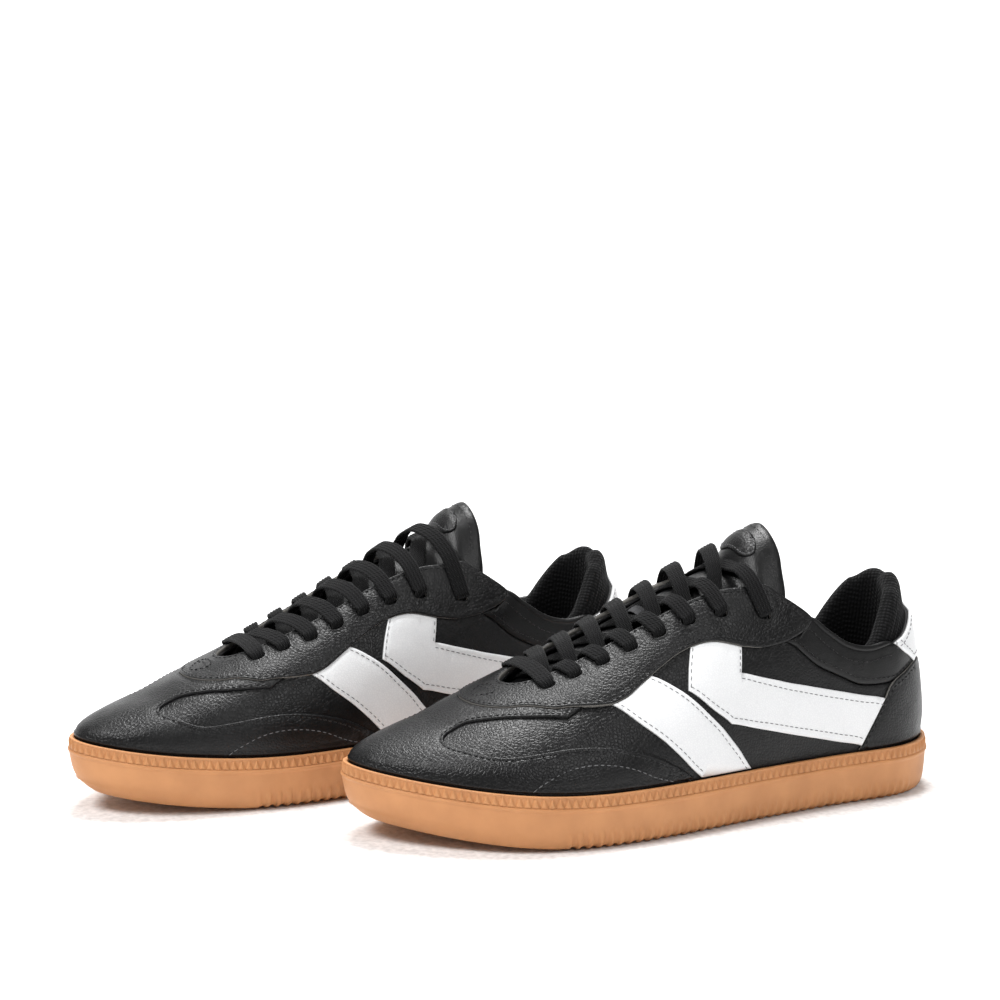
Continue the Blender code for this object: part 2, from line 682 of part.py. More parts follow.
def toe_round(up, run):
    """The line at one height from the inner side round the toe to the outer side."""
    mid, long, wide, back, front = oval(up)
    turn = angle_on(up, run, 1)
    count = max(2, int(round(turn * (long + wide) / EDGE_STEP)))
    at = np.linspace(-turn, turn, count + 1)
    return np.stack([mid + long * np.cos(at), wide * np.sin(at)], axis=1)


def heel_round(up, run, side):
    """The line at one height from a place on one side back to the middle of the heel."""
    mid, long, wide, back, front = oval(up)
    start = angle_on(up, run, 1)
    count = max(2, int(round((math.pi - start) * 0.5 * (long + wide) / EDGE_STEP)))
    at = np.linspace(start, math.pi, count + 1)
    return np.stack([mid + long * np.cos(at), side * wide * np.sin(at)], axis=1)


SLOT_SHAPE = [(1, 0.5), (0.78, 1), (-0.78, 1), (-1, 0.5), (-1, -0.5), (-0.78, -1), (0.78, -1), (1, -0.5)]


def ways(row, side):
    """An eyelet's sheet point, and the sheet steps that move 1 mm along the row of eyelets and 1 mm outward."""
    run, out = ROW_RUN[row], ROW_OUT[row]
    spots = np.array([top_point(run, out, side), top_point(run + 2.0, out - 0.2, side),
                      top_point(run, out + 1.5, side)])
    real = surface(spots)
    along = (spots[1] - spots[0]) / np.linalg.norm(real[1] - real[0])
    away = (spots[2] - spots[0]) / np.linalg.norm(real[2] - real[0])
    return spots[0], along, away


def beside(row, side, inward):
    """Sheet point a real distance inward from an eyelet."""
    place, along, away = ways(row, side)
    return place - away * inward


def slots(rows):
    """Lace slots of the given rows on both sides, as sheet loops."""
    found = []
    for side in (1, -1):
        for row in rows:
            place, along, away = ways(row, side)
            middle = place - away * SLOT_SHIFT
            loop = []
            for x, y in SLOT_SHAPE:
                loop.append(middle + along * x * HOLE_LONG / 2 + away * y * HOLE_SHORT / 2)
            found.append(np.array(loop))
    return found


THROAT_A = Line(THROAT_FRONT, "out", 6.0)
THROAT_B = Line(THROAT_REAR, "out", 7.0)


def upper():
    top_edge = mixed([THROAT_REAR[-1]], TOP_EDGE)
    topline = Line(TOPLINE)
    collar_seam = Line(COLLAR_SEAM)
    seam = Line(SEAM)
    for side in (1, -1):
        points = [side_point(p[0], p[1], side) for p in SEAM] + [top_point(SEAM_HEAD, HEAD_OUT, side)]
        seam.parts[side] = sampled(points)
    tip = mixed(EYESTAY_TIP, EYESTAY_SIDE, 6.0)
    head = Line(STRIPE_HEAD)
    hollow = Line(EYESTAY_HOLLOW)
    arrow_head = Line(ARROW_HEAD)
    rear = Line(EYESTAY_REAR)
    heel_end = Line(EYESTAY_HEEL, step=6.0)
    gap = 0.5 * SEAM_GAP
    for side in (1, -1):
        seam.parts[side][-1] = THROAT_B.on(side)[0]
    # Base leather
    loop = ring_of(toe_round(TUCK, SEAM_FOOT), seam.on(1), THROAT_A.on(1, True), THROAT_A.on(-1), seam.on(-1, True))
    add_panel("vamp", drawn_in(loop, gap), -LEATHER, 0.0, BLACK, slots([0, 1, 2]))
    for side, label in ((1, "lateral"), (-1, "medial")):
        back_seam = heel_line(BACK_SEAM_TOP, TUCK)
        loop = ring_of(THROAT_B.on(side), top_edge.on(side), heel_end.on(side, True), collar_seam.on(side),
                       back_seam, heel_round(TUCK, SEAM_FOOT, side)[::-1], seam.on(side))
        holes = [h for h in slots(range(3, ROWS)) if h[0][1] * side > 0]
        add_panel("quarter_" + label, drawn_in(loop, gap), -LEATHER, 0.0, BLACK, holes)
        tab_edge = Line(TAB_EDGE)
        back_up = heel_line(BACK_SEAM_TOP, TAB_TOP)
        loop = ring_of(collar_seam.on(side, True), heel_end.on(side), topline.on(side), tab_edge.on(side),
                       back_up[::-1])
        add_panel("collar_panel_" + label, drawn_in(loop, gap), -LEATHER, 0.0, BLACK)
    # Outer leather
    low, high = OVERLAY_GAP, OVERLAY_GAP + OVERLAY
    one = ring_of(tip.on(1), head.on(1), hollow.on(1), arrow_head.on(1), rear.on(1), heel_end.on(1),
                  top_edge.on(1, True), THROAT_B.on(1, True), THROAT_A.on(1, True))
    two = ring_of(THROAT_A.on(-1), THROAT_B.on(-1), top_edge.on(-1), heel_end.on(-1, True), rear.on(-1, True),
                  arrow_head.on(-1, True), hollow.on(-1, True), head.on(-1, True), tip.on(-1, True))
    add_panel("eyestay", drawn_in(ring_of(one, two), gap), low, high, BLACK, slots(range(ROWS)))
    tip_part = {}
    for side in (1, -1):
        tip_part[side] = tip.on(side)[:-2]
    mud = {}
    for side in (1, -1):
        first = [side_point(p[0], p[1], side) for p in MUDGUARD]
        then = [top_point(p[0], p[1], side) for p in (LOBE if side > 0 else LOBE_MEDIAL)]
        last = [side_point(p[0], p[1], side) for p in LOBE_TAIL]
        mud[side] = sampled(first + then + last, 7.0)
    loop = ring_of(toe_round(WELT, MUDGUARD_FOOT), mud[1], tip_part[1][::-1], tip_part[-1], mud[-1][::-1])
    add_panel("toe_overlay", drawn_in(loop, gap), low, high, BLACK)
    for side, label in ((1, "lateral"), (-1, "medial")):
        stripe_rear = Line(FRONT_STRIPE_REAR)
        stripe_front = Line(FRONT_STRIPE_FRONT)
        loop = ring_of(head.on(side), stripe_rear.on(side), stripe_front.on(side))
        add_panel("front_stripe_" + label, drawn_in(loop, gap), low, high, WHITE)
        loop = ring_of(arrow_head.on(side), Line(ARROW_NOTCH).on(side), Line(ARROW_TOP).on(side),
                       Line(ARROW_END).on(side), Line(ARROW_FOOT).on(side), Line(ARROW_FRONT).on(side),
                       Line(ARROW_TIP).on(side))
        add_panel("rear_stripe_" + label, drawn_in(loop, gap), low, high, WHITE)
    edge = Line(COUNTER_EDGE)
    top = Line(COUNTER_TOP)
    loop = ring_of(edge.on(1), top.on(1), [side_point(0.0, HEEL_MARK)], top.on(-1, True), edge.on(-1, True),
                   heel_round(WELT, COUNTER_EDGE[0][0], -1),
                   heel_round(WELT, COUNTER_EDGE[0][0], 1)[::-1])
    add_panel("heel_counter", drawn_in(loop, gap), low, high, BLACK)
    front = Line(TAB_FRONT)
    tab_edge = Line(TAB_EDGE)
    loop = ring_of([side_point(0.0, HEEL_MARK)], top.on(1, True), front.on(1), tab_edge.on(1),
                   [side_point(0.0, TAB_TOP)], tab_edge.on(-1, True), front.on(-1, True), top.on(-1))
    add_panel("heel_tab", drawn_in(loop, gap), low, high, WHITE)


def linings(floor):
    """The stiffeners and linings, which hang from the top edge down to the insole."""
    base = floor + 0.6
    puff = -LEATHER - STIFFENER_GAP
    half = {}
    for side in (1, -1):
        points = [side_point(PUFF_RUN, base, side)]
        points += [side_point(p[0], p[1], side) for p in PUFF_SIDE]
        points += [top_point(p[0], p[1], side) for p in PUFF_TOP]
        half[side] = sampled(points)
    loop = ring_of(toe_round(base, PUFF_RUN), half[1], half[-1][::-1])
    add_panel("toe_puff", loop, puff - STIFFENER, puff, PLASTIC)
    for side in (1, -1):
        points = [side_point(COUNTER_ARM, base, side)]
        points += [side_point(p[0], p[1], side) for p in STIFFENER_SIDE]
        half[side] = sampled(points)
    loop = ring_of(half[1], half[-1][::-1], heel_round(base, COUNTER_ARM, -1),
                   heel_round(base, COUNTER_ARM, 1)[::-1])
    add_panel("heel_stiffener", loop, puff - STIFFENER, puff, PLASTIC)
    outer = LINING_OUTER
    rise = {}
    throat = {}
    rim = {}
    for side in (1, -1):
        corner = side_point(RIM[0][0], RIM[0][1], side)
        rise[side] = sampled([side_point(LINING_SPLIT, base, side), corner])
        throat[side] = sampled([corner] + [top_point(p[0], p[1], side) for p in LINING_THROAT])
        rim[side] = sampled([side_point(p[0], p[1], side) for p in RIM])
    loop = ring_of(toe_round(base, LINING_SPLIT), rise[1], throat[1], throat[-1][::-1], rise[-1][::-1])
    add_panel("vamp_lining", drawn_in(loop, 0.3), outer - LINING, outer, CLOTH)
    loop = ring_of(rise[1], rim[1], rim[-1][::-1], rise[-1][::-1], heel_round(base, LINING_SPLIT, -1),
                   heel_round(base, LINING_SPLIT, 1)[::-1])
    add_panel("collar_lining", drawn_in(loop, 0.3), outer - COLLAR_PAD, outer, CLOTH)


STRAND_AT = [0.1, 0.18, 0.26, 0.35, 0.48, 0.6, 0.7, 0.78, 0.88]


def strand_places():
    """The lace's line as sheet points and lifts, in order along the lace."""
    over = OVERLAY_GAP + OVERLAY + 0.65 + LACE_THICK / 2
    under = TONGUE_OUTER + 0.7 + LACE_THICK / 2
    middle = 0.5 * (over + under)
    radius = 0.5 * (over - under)
    places = []

    def turn(row, side):
        """From over the eyestay, down through the slot and back under its edge."""
        made = []
        for angle in np.linspace(0, math.pi, 6):
            inward = radius * 0.92 * (1 - math.sin(angle))
            made.append((beside(row, side, inward), middle + radius * math.cos(angle)))
        return made

    def strand(row, side, high):
        """From under one side's edge at a row to over the other side at the next row."""
        start = surface(beside(row, side, radius * 0.92))[0]
        end = surface(beside(row + 1, -side, radius * 0.92))[0]
        made = []
        if high:
            lifts = [(0.0, under), (0.13, under), (0.2, under + 1.5), (0.3, under + 4.2), (0.42, over - 0.4)]
            lifts += [(0.6, over), (0.8, over), (1.0, over)]
        else:
            lifts = [(0.0, under), (0.5, under), (0.62, under + 0.2), (0.7, under + 1.4), (0.8, over - 0.9)]
            lifts += [(0.87, over), (1.0, over)]
        for t in STRAND_AT:
            run, out = (start + (end - start) * t)[:2]
            made.append((top_point(run, out - lacing_line(run)), float(through(lifts, t))))
        return made

    def chain(side):
        """Lace from the first row's middle to the last row, on the side it starts towards."""
        made = []
        first = surface(beside(0, side, radius * 0.92))[0]
        for t in np.linspace(0.0, 1.0, 6)[0:-1]:
            out = (first[1] - lacing_line(first[0])) * t
            made.append((top_point(first[0], out), over))
        for row in range(ROWS - 1):
            made += turn(row, side)
            made += strand(row, side, side > 0)
            side = -side
        row = ROWS - 1
        for inward, lift in ((2.0, over), (0.9, over - 0.8), (0.0, middle), (-0.9, under + 0.8), (-2.2, under)):
            made.append((beside(row, side, inward), lift))
        made.append((side_point(ROW_RUN[row] + 1.2, TAIL_TOP, side), under))
        made.append((side_point(ROW_RUN[row] + 2.0, TAIL_TOP - TAIL, side), under))
        return made, side

    first, first_side = chain(1)
    second, second_side = chain(-1)
    return second[::-1] + first[1:], (second_side, first_side)


def lace():
    places, sides = strand_places()
    sheet = np.array([p[0] for p in places])
    lift = np.array([p[1] for p in places])
    middle = laid(sheet, lift)
    out_way = facing_out(sheet)
    ahead = np.gradient(middle, axis=0)
    ahead /= np.linalg.norm(ahead, axis=1)[:, None]
    wide = lace_width_way(sheet, ahead, out_way)
    thick = np.cross(ahead, wide)
    half_w, half_t = LACE_WIDTH / 2, LACE_THICK / 2
    rings = []
    for x, y in ((1, 1), (-1, 1), (-1, -1), (1, -1)):
        rings.append(middle + wide * half_w * x + thick * half_t * y)
    count = len(middle)
    points = np.stack(rings, axis=1).reshape(-1, 3)
    faces = []
    for i in range(count - 1):
        for k in range(4):
            m = (k + 1) % 4
            faces.append((i * 4 + k, i * 4 + m, i * 4 + 4 + m, i * 4 + 4 + k))
    faces.append((3, 2, 1, 0))
    end = 4 * (count - 1)
    faces.append((end, end + 1, end + 2, end + 3))
    volume = closed_volume(points, faces)
    if volume < 0:
        faces = [tuple(reversed(f)) for f in faces]
    add("lace", points, faces, BLACK)
    for side in sides:
        aglet(side)


def aglet(side):
    """The stiff tip on a lace end, tucked down between the quarter and the lining."""
    run = ROW_RUN[ROWS - 1] + 2.0
    top = TAIL_TOP - TAIL - 0.6
    flat = np.array([side_point(run, up, side) for up in np.linspace(top, top - AGLET_LENGTH, 6)])
    lift = TONGUE_OUTER + 0.8 + LACE_THICK / 2
    middle = laid(flat, lift)
    out_way = facing_out(flat)
    ahead = np.gradient(middle, axis=0)
    ahead /= np.linalg.norm(ahead, axis=1)[:, None]
    wide = np.cross(ahead, out_way)
    shape = [(1.0, 0.0), (0.7, 1.0), (-0.7, 1.0), (-1.0, 0.0), (-0.7, -1.0), (0.7, -1.0)]
    rings = [middle + wide * x * AGLET_WIDTH / 2 + out_way * y * AGLET_THICK / 2 for x, y in shape]
    points = np.stack(rings, axis=1).reshape(-1, 3)
    faces = []
    for i in range(len(middle) - 1):
        for k in range(6):
            m = (k + 1) % 6
            faces.append((i * 6 + k, i * 6 + m, i * 6 + 6 + m, i * 6 + 6 + k))
    end = 6 * (len(middle) - 1)
    faces.append((5, 4, 3, 2, 1, 0))
    faces.append(tuple(end + k for k in range(6)))
    if closed_volume(points, faces) < 0:
        faces = [tuple(reversed(f)) for f in faces]
    add("aglet_" + ("lateral" if side > 0 else "medial"), points, faces, PLASTIC)


def flap_lift(flat):
    """Outer face of the tongue's top, which swells up behind the last lace row."""
    run = surface(flat)[:, 0]
    t = np.clip((FLAP_START - run) / 9.0, 0, 1)
    return TONGUE_OUTER + (FLAP_RISE) * t * t * (3 - 2 * t)


def flap_inner(flat):
    run = surface(flat)[:, 0]
    t = np.clip((FLAP_START - run) / 9.0, 0, 1)
    return flap_lift(flat) - TONGUE_THICK - (FLAP_THICK - TONGUE_THICK) * t


def tongue():
    right = [top_point(p[0], p[1], 1) for p in TONGUE_EDGE]
    left = [top_point(p[0], p[1], -1) for p in TONGUE_EDGE]
    first, last = TONGUE_EDGE[0], TONGUE_EDGE[-1]
    front = sampled([top_point(first[0], first[1], -1), top_point(first[0] + 2.0, 0.0), right[0]])
    wide = out_at(11.0)
    back = sampled([right[-1], top_point(last[0], wide), top_point(last[0], 0.0), top_point(last[0], -wide), left[-1]])
    loop = ring_of(front, sampled(right), back, sampled(left)[::-1])
    add_panel("tongue", loop, TONGUE_OUTER - TONGUE_THICK, TONGUE_OUTER, BLACK)
    right = [top_point(p[0], p[1], 1) for p in FLAP_EDGE]
    left = [top_point(p[0], p[1], -1) for p in FLAP_EDGE]
    start = FLAP_FRONT
    wide = out_at(11.0)
    front = sampled([left[0], top_point(start, -wide), top_point(start, 0.0), top_point(start, wide), right[0]])
    loop = ring_of(front, sampled(right, 6.0), sampled(left, 6.0)[::-1])
    add_panel("tongue_flap", loop, flap_inner, flap_lift, BLACK)
    right = [top_point(p[0], p[1], 1) for p in PATCH_EDGE]
    left = [top_point(p[0], p[1], -1) for p in PATCH_EDGE]
    loop = ring_of(sampled([left[0], right[0]], 5.0), sampled(right, 5.0), sampled(left, 5.0)[::-1])
    add_panel("tongue_patch", loop, lambda flat: flap_lift(flat) + 0.6, lambda flat: flap_lift(flat) + 1.6, BLACK)
    middle = ROW_RUN[4]
    loop = []
    for run, out in ((1.3, 6.0), (1.3, 0.0), (1.3, -6.0), (-1.3, -6.0), (-1.3, 0.0), (-1.3, 6.0)):
        loop.append(top_point(middle + run, out))
    add_panel("lace_loop", np.array(loop), TONGUE_OUTER + 0.25, TONGUE_OUTER + 0.8, GREY)


def closed_volume(points, faces):
    total = 0.0
    for face in faces:
        a = points[face[0]]
        for i in range(1, len(face) - 1):
            total += np.dot(a, np.cross(points[face[i]], points[face[i + 1]]))
    return total


def lace_width_way(sheet, ahead, out_way):
    """The flat way across the ribbon: along the shoe, square to the ribbon's run."""
    along = surface(sheet + [0.6, 0.0]) - surface(sheet - [0.6, 0.0])
    along = along / np.linalg.norm(along, axis=1)[:, None]
    for i in range(1, len(along)):
        if along[i] @ along[i - 1] < 0:
            along[i] = -along[i]
    wide = along - ahead * np.sum(along * ahead, axis=1)[:, None]
    wide /= np.linalg.norm(wide, axis=1)[:, None]
    return wide


def main():
    global GRID, GRID_CELL
    scene_cleared()
    GRID, GRID_CELL = sheet_grid()
    floor = sole()
    upper()
    linings(floor)
    tongue()
    lace()


main()
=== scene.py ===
"""A pair of black leather court trainers with white stripes, gum rubber cup soles and flat laces."""
import math

import bpy
import numpy as np
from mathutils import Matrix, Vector, noise
from mathutils.geometry import delaunay_2d_cdt


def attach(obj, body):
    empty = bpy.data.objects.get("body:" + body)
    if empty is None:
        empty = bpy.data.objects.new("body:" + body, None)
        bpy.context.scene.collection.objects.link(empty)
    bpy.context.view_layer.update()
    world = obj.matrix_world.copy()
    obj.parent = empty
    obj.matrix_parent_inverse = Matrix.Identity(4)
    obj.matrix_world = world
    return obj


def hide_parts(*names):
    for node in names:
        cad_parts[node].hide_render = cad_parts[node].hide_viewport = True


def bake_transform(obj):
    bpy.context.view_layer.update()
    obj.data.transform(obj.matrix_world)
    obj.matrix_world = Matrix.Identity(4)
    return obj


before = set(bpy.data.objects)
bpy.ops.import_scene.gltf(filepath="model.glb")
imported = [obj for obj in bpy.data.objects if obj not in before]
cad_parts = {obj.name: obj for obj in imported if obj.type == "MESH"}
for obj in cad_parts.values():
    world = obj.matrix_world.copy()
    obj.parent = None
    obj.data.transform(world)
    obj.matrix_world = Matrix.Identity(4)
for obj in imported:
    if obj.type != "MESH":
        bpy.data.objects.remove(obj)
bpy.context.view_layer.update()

MM = 0.001

# Driving sizes of one shoe
SOLE_LENGTH = 292.0
SOLE_HEIGHT = 24.0
BALL_WIDTH = 104.0
HEEL_WIDTH = 73.0
TOE_SPRING = 10.0
UPPER_HEIGHT = 98.0

# Placing of the pair
CENTRE_TO_CENTRE = 115.3
STAGGER = 96.6

# Sole
SOLE_WALL = 3.0
SOLE_BOTTOM = 4.0
TOE_UNDERCUT = 8.0
WEDGE_HEIGHT = 4.6
BOARD_THICKNESS = 2.0
INSOLE_THICKNESS = 4.2

# Upper layers, as distances out from the outer face of the base leather
CLEAR = 0.8
LEATHER = 1.2
OVERLAY_GAP = 1.25
OVERLAY = 1.2

# Lacing
ROWS = 8
LACE_WIDTH = 6.4
LACE_THICK = 1.2
SLOT_CLEAR = 1.25
HOLE_LONG = LACE_WIDTH + 2 * SLOT_CLEAR
HOLE_SHORT = LACE_THICK + 4.6
SLOT_SHIFT = 0.6
TAIL = 13.0

# Tongue
TONGUE_OUTER = -(LEATHER + 3.4)
TONGUE_THICK = 3.0
FLAP_RISE = 6.0
FLAP_THICK = 5.5

EDGE_STEP = 2.6

UPPER_INSET = SOLE_WALL + CLEAR
MID = 0.5 * (BALL_WIDTH - HEEL_WIDTH)

# The pattern is drafted at this size, then graded to the driving sizes.
DRAFT_LENGTH = 292.0
DRAFT_BALL = 104.0
DRAFT_INSET = 3.8
DRAFT_SOLE = 24.0
DRAFT_UPPER = 98.0


def run_at(run):
    room = (SOLE_LENGTH - 2 * UPPER_INSET) / (DRAFT_LENGTH - 2 * DRAFT_INSET)
    return UPPER_INSET + (run - DRAFT_INSET) * room


def up_at(up):
    return SOLE_HEIGHT + (up - DRAFT_SOLE) * UPPER_HEIGHT / DRAFT_UPPER


def out_at(out):
    return out * BALL_WIDTH / DRAFT_BALL


def straight(points):
    """Points along straight lines between the given ones, about 12 mm apart."""
    found = [points[0]]
    for first, last in zip(points[:-1], points[1:]):
        count = max(1, round(math.hypot(last[0] - first[0], last[1] - first[1]) / 12.0))
        for k in range(1, count + 1):
            share = k / count
            found.append((first[0] + (last[0] - first[0]) * share, first[1] + (last[1] - first[1]) * share))
    return found


def graded(points):
    """Draft points (run, height) at the driving sizes."""
    return [(run_at(run), up_at(up)) for run, up in points]


def graded_out(points):
    """Draft points (run, distance outward) at the driving sizes."""
    return [(run_at(run), out_at(out)) for run, out in points]


def through(points, x):
    """A smooth curve through the points that doesn't overshoot, read at x."""
    px = np.array([p[0] for p in points], float)
    py = np.array([p[1] for p in points], float)
    x = np.clip(np.asarray(x, float), px[0], px[-1])
    gap = np.diff(px)
    rise = np.diff(py) / gap
    inner = (rise[:-1] * gap[1:] + rise[1:] * gap[:-1]) / (gap[:-1] + gap[1:])
    slope = np.concatenate([[rise[0]], inner, [rise[-1]]])
    i = np.clip(np.searchsorted(px, x, side="right") - 1, 0, len(gap) - 1)
    t = (x - px[i]) / gap[i]
    near = (1 + 2 * t) * (1 - t) ** 2 * py[i] + t * (1 - t) ** 2 * gap[i] * slope[i]
    far = t * t * (3 - 2 * t) * py[i + 1] + t * t * (t - 1) * gap[i] * slope[i + 1]
    return near + far


# The shape of the last. Runs are fractions of the sole length, widths go from heel width to ball width.
HALF_WIDTH = [(0.0, -0.1), (0.1, -0.03), (0.257, 0.065), (0.377, 0.29), (0.514, 0.71), (0.616, 0.97)]
HALF_WIDTH += [(0.709, 1.0), (0.805, 0.84), (0.897, 0.52), (1.0, 0.0)]
MIDLINE = [(0.0, 0.0), (0.205, 0.019), (0.377, 0.04), (0.514, 0.046), (0.616, 0.04)]
MIDLINE += [(0.709, 0.031), (0.805, 0.01), (0.897, -0.038), (1.0, -0.096)]
CREST_LINE = [(0.0, 0.0), (0.48, 0.0), (0.6, -0.029), (0.736, -0.0625), (0.84, -0.072), (1.0, -0.096)]
CREST = [(-0.03, 1.68), (0.1, 1.49), (0.205, 1.25), (0.308, 1.06), (0.377, 0.945), (0.445, 0.86)]
CREST += [(0.514, 0.745), (0.582, 0.63), (0.65, 0.525), (0.72, 0.425), (0.77, 0.355), (0.822, 0.283)]
CREST += [(0.873, 0.203), (0.925, 0.15), (1.0, 0.094)]
BACK_LEAN = [(0, 0.0), (24, 0.0), (35, -0.9), (50, 0.5), (70, 4.5), (90, 8.5), (102, 10.5), (150, 18)]
HEEL_ROUND = 42.0
TOE_ROUND = 92.0
NOSE = 34.0
FULLNESS = 2.15


def half_sole(run):
    """Half the sole's width before its ends are rounded."""
    share = through(HALF_WIDTH, run / SOLE_LENGTH)
    return 0.5 * (HEEL_WIDTH + 2 * MID * share)


def midline(run):
    return through(MIDLINE, run / SOLE_LENGTH) * BALL_WIDTH


def rounded(run, first, last):
    heel = np.clip((first + HEEL_ROUND - run) / HEEL_ROUND, 0, 1)
    toe = np.clip((run - last + TOE_ROUND) / TOE_ROUND, 0, 1)
    return np.sqrt(1 - heel ** 2.3) * np.sqrt(1 - toe ** 2.6)


def spring(run):
    return TOE_SPRING * np.clip((run - 0.65 * SOLE_LENGTH) / (0.35 * SOLE_LENGTH), 0, 1.1) ** 1.8


def back_at(up):
    return UPPER_INSET + through(BACK_LEAN, DRAFT_SOLE + (up - SOLE_HEIGHT) * DRAFT_UPPER / UPPER_HEIGHT)


def crest(run):
    """Height of the upper's ridge above the floor, with the sole laid flat."""
    share = through(CREST, run / SOLE_LENGTH)
    toe = np.clip((run - (SOLE_LENGTH - UPPER_INSET - NOSE)) / NOSE, 0, 1)
    return SOLE_HEIGHT + share * UPPER_HEIGHT * np.sqrt(1 - toe ** 2.4)


FRONT_RUN = np.linspace(run_at(60.0), SOLE_LENGTH - UPPER_INSET, 4001)
FRONT_UP = crest(FRONT_RUN)


def front_at(up):
    return np.interp(-np.asarray(up, float), -FRONT_UP, FRONT_RUN)


def level_share(run, up):
    return np.clip((up - SOLE_HEIGHT) / np.maximum(crest(run) - SOLE_HEIGHT, 1e-6), 0, 1)


def half_upper(run, up):
    first = back_at(up)
    shift = (first - UPPER_INSET) * np.clip(1 - (run - first) / (0.31 * SOLE_LENGTH), 0, 1) ** 2
    base = (half_sole(run - shift) - UPPER_INSET) * rounded(run - shift, UPPER_INSET,
                                                            SOLE_LENGTH - UPPER_INSET)
    return base * np.sqrt(1 - level_share(run, up) ** FULLNESS)


def centre_upper(run, up):
    low = midline(run)
    high = through(CREST_LINE, run / SOLE_LENGTH) * BALL_WIDTH
    return low + (high - low) * level_share(run, up) ** 1.5


# The flat pattern sheet. Each height of the upper is one oval on it, lower heights outside higher ones,
# so every panel is cut on the flat sheet and then laid on the last.
SHEET_TOP = up_at(140.0)
SHEET_SPREAD = 0.6
SHEET_HALF = 42.0
HALVINGS = 40
SHEET_HALVINGS = 44
NORMAL_STEP = 0.6


def oval(up):
    back = back_at(up)
    front = front_at(up)
    spread = SHEET_SPREAD * (SHEET_TOP - up)
    return 0.5 * (back + front), 0.5 * (front - back) + spread, SHEET_HALF + spread, back, front


def side_point(run, up, side=1):
    """Sheet point of a place on the side, by its run and height."""
    mid, long, wide, back, front = oval(up)
    turn = 1 - 2 * np.clip((run - back) / (front - back), 0, 1)
    return np.array([mid - long * turn, side * wide * math.sqrt(max(1 - turn ** 2, 0))])


def top_point(run, out, side=1):
    """Sheet point of a place seen from above, by its run and its distance outward from the lacing line."""
    run = float(run)
    place = lacing_line(run) + side * out
    low = 0.0
    high = float(crest(run)) - SOLE_HEIGHT
    facing = 1.0 if place >= float(centre_upper(run, SOLE_HEIGHT + high)) else -1.0
    for _ in range(HALVINGS):
        up = SOLE_HEIGHT + 0.5 * (low + high)
        over = facing * (place - float(centre_upper(run, up))) - float(half_upper(run, up))
        if over > 0:
            high = up - SOLE_HEIGHT
        else:
            low = up - SOLE_HEIGHT
    return side_point(run, SOLE_HEIGHT + 0.5 * (low + high), facing)


LACING_LINE = [(0.0, 0.012), (0.42, 0.012), (0.5, 0.0), (0.6, -0.023), (0.7, -0.032), (0.83, -0.062),
               (1.0, -0.08)]


def lacing_line(run):
    return float(through(LACING_LINE, run / SOLE_LENGTH)) * BALL_WIDTH


def surface(sheet):
    """Places on the last (run, out, up) of sheet points."""
    sheet = np.atleast_2d(sheet)
    low = np.full(len(sheet), 1.0)
    high = np.full(len(sheet), SHEET_TOP - 1.0)
    for _ in range(SHEET_HALVINGS):
        up = 0.5 * (low + high)
        mid, long, wide, back, front = oval(up)
        outside = ((sheet[:, 0] - mid) / long) ** 2 + (sheet[:, 1] / wide) ** 2 > 1
        high = np.where(outside, up, high)
        low = np.where(outside, low, up)
    up = 0.5 * (low + high)
    mid, long, wide, back, front = oval(up)
    turn = np.clip((sheet[:, 0] - mid) / long, -1, 1)
    run = back + (front - back) * 0.5 * (1 + turn)
    side = np.where(sheet[:, 1] >= 0, 1.0, -1.0)
    out = centre_upper(run, up) + side * half_upper(run, up)
    return np.stack([run, out, up + spring(run)], axis=1)


def facing_out(sheet):
    """Outward directions of the last at sheet points."""
    sheet = np.atleast_2d(sheet)
    along = surface(sheet + [NORMAL_STEP, 0]) - surface(sheet - [NORMAL_STEP, 0])
    across = surface(sheet + [0, NORMAL_STEP]) - surface(sheet - [0, NORMAL_STEP])
    normal = np.cross(along, across)
    return normal / np.linalg.norm(normal, axis=1)[:, None]


def laid(sheet, lift):
    return surface(sheet) + facing_out(sheet) * np.reshape(lift, (-1, 1))


# Outlines on the sheet
CURVE_SHARES = 24


def curve(points, step=EDGE_STEP):
    """A smooth line through sheet points, sampled about every step, without its last point."""
    points = np.array(points, float)
    if len(points) == 2:
        real = surface(points)
        count = max(1, int(round(np.linalg.norm(real[1] - real[0]) / step)))
        t = np.arange(count)[:, None] / count
        return points[0] + (points[1] - points[0]) * t
    padded = np.vstack([2 * points[0] - points[1], points, 2 * points[-1] - points[-2]])
    found = []
    for i in range(1, len(padded) - 2):
        p0, p1, p2, p3 = padded[i - 1:i + 3]
        for t in np.arange(CURVE_SHARES) / CURVE_SHARES:
            a = 2 * p1 + (p2 - p0) * t
            b = (2 * p0 - 5 * p1 + 4 * p2 - p3) * t ** 2 + (3 * p1 - p0 - 3 * p2 + p3) * t ** 3
            found.append(0.5 * (a + b))
    found = np.array(found + [points[-1]])
    real = surface(found)
    length = np.concatenate([[0], np.cumsum(np.linalg.norm(np.diff(real, axis=0), axis=1))])
    count = max(2, int(round(length[-1] / step)))
    at = np.linspace(0, length[-1], count + 1)[:-1]
    return np.stack([np.interp(at, length, found[:, 0]), np.interp(at, length, found[:, 1])], axis=1)


def angle_on(up, run, side):
    """The angle round a height's oval of a place on one side."""
    mid, long, wide, back, front = oval(up)
    return side * math.acos(np.clip(2 * (run - back) / (front - back) - 1, -1, 1))


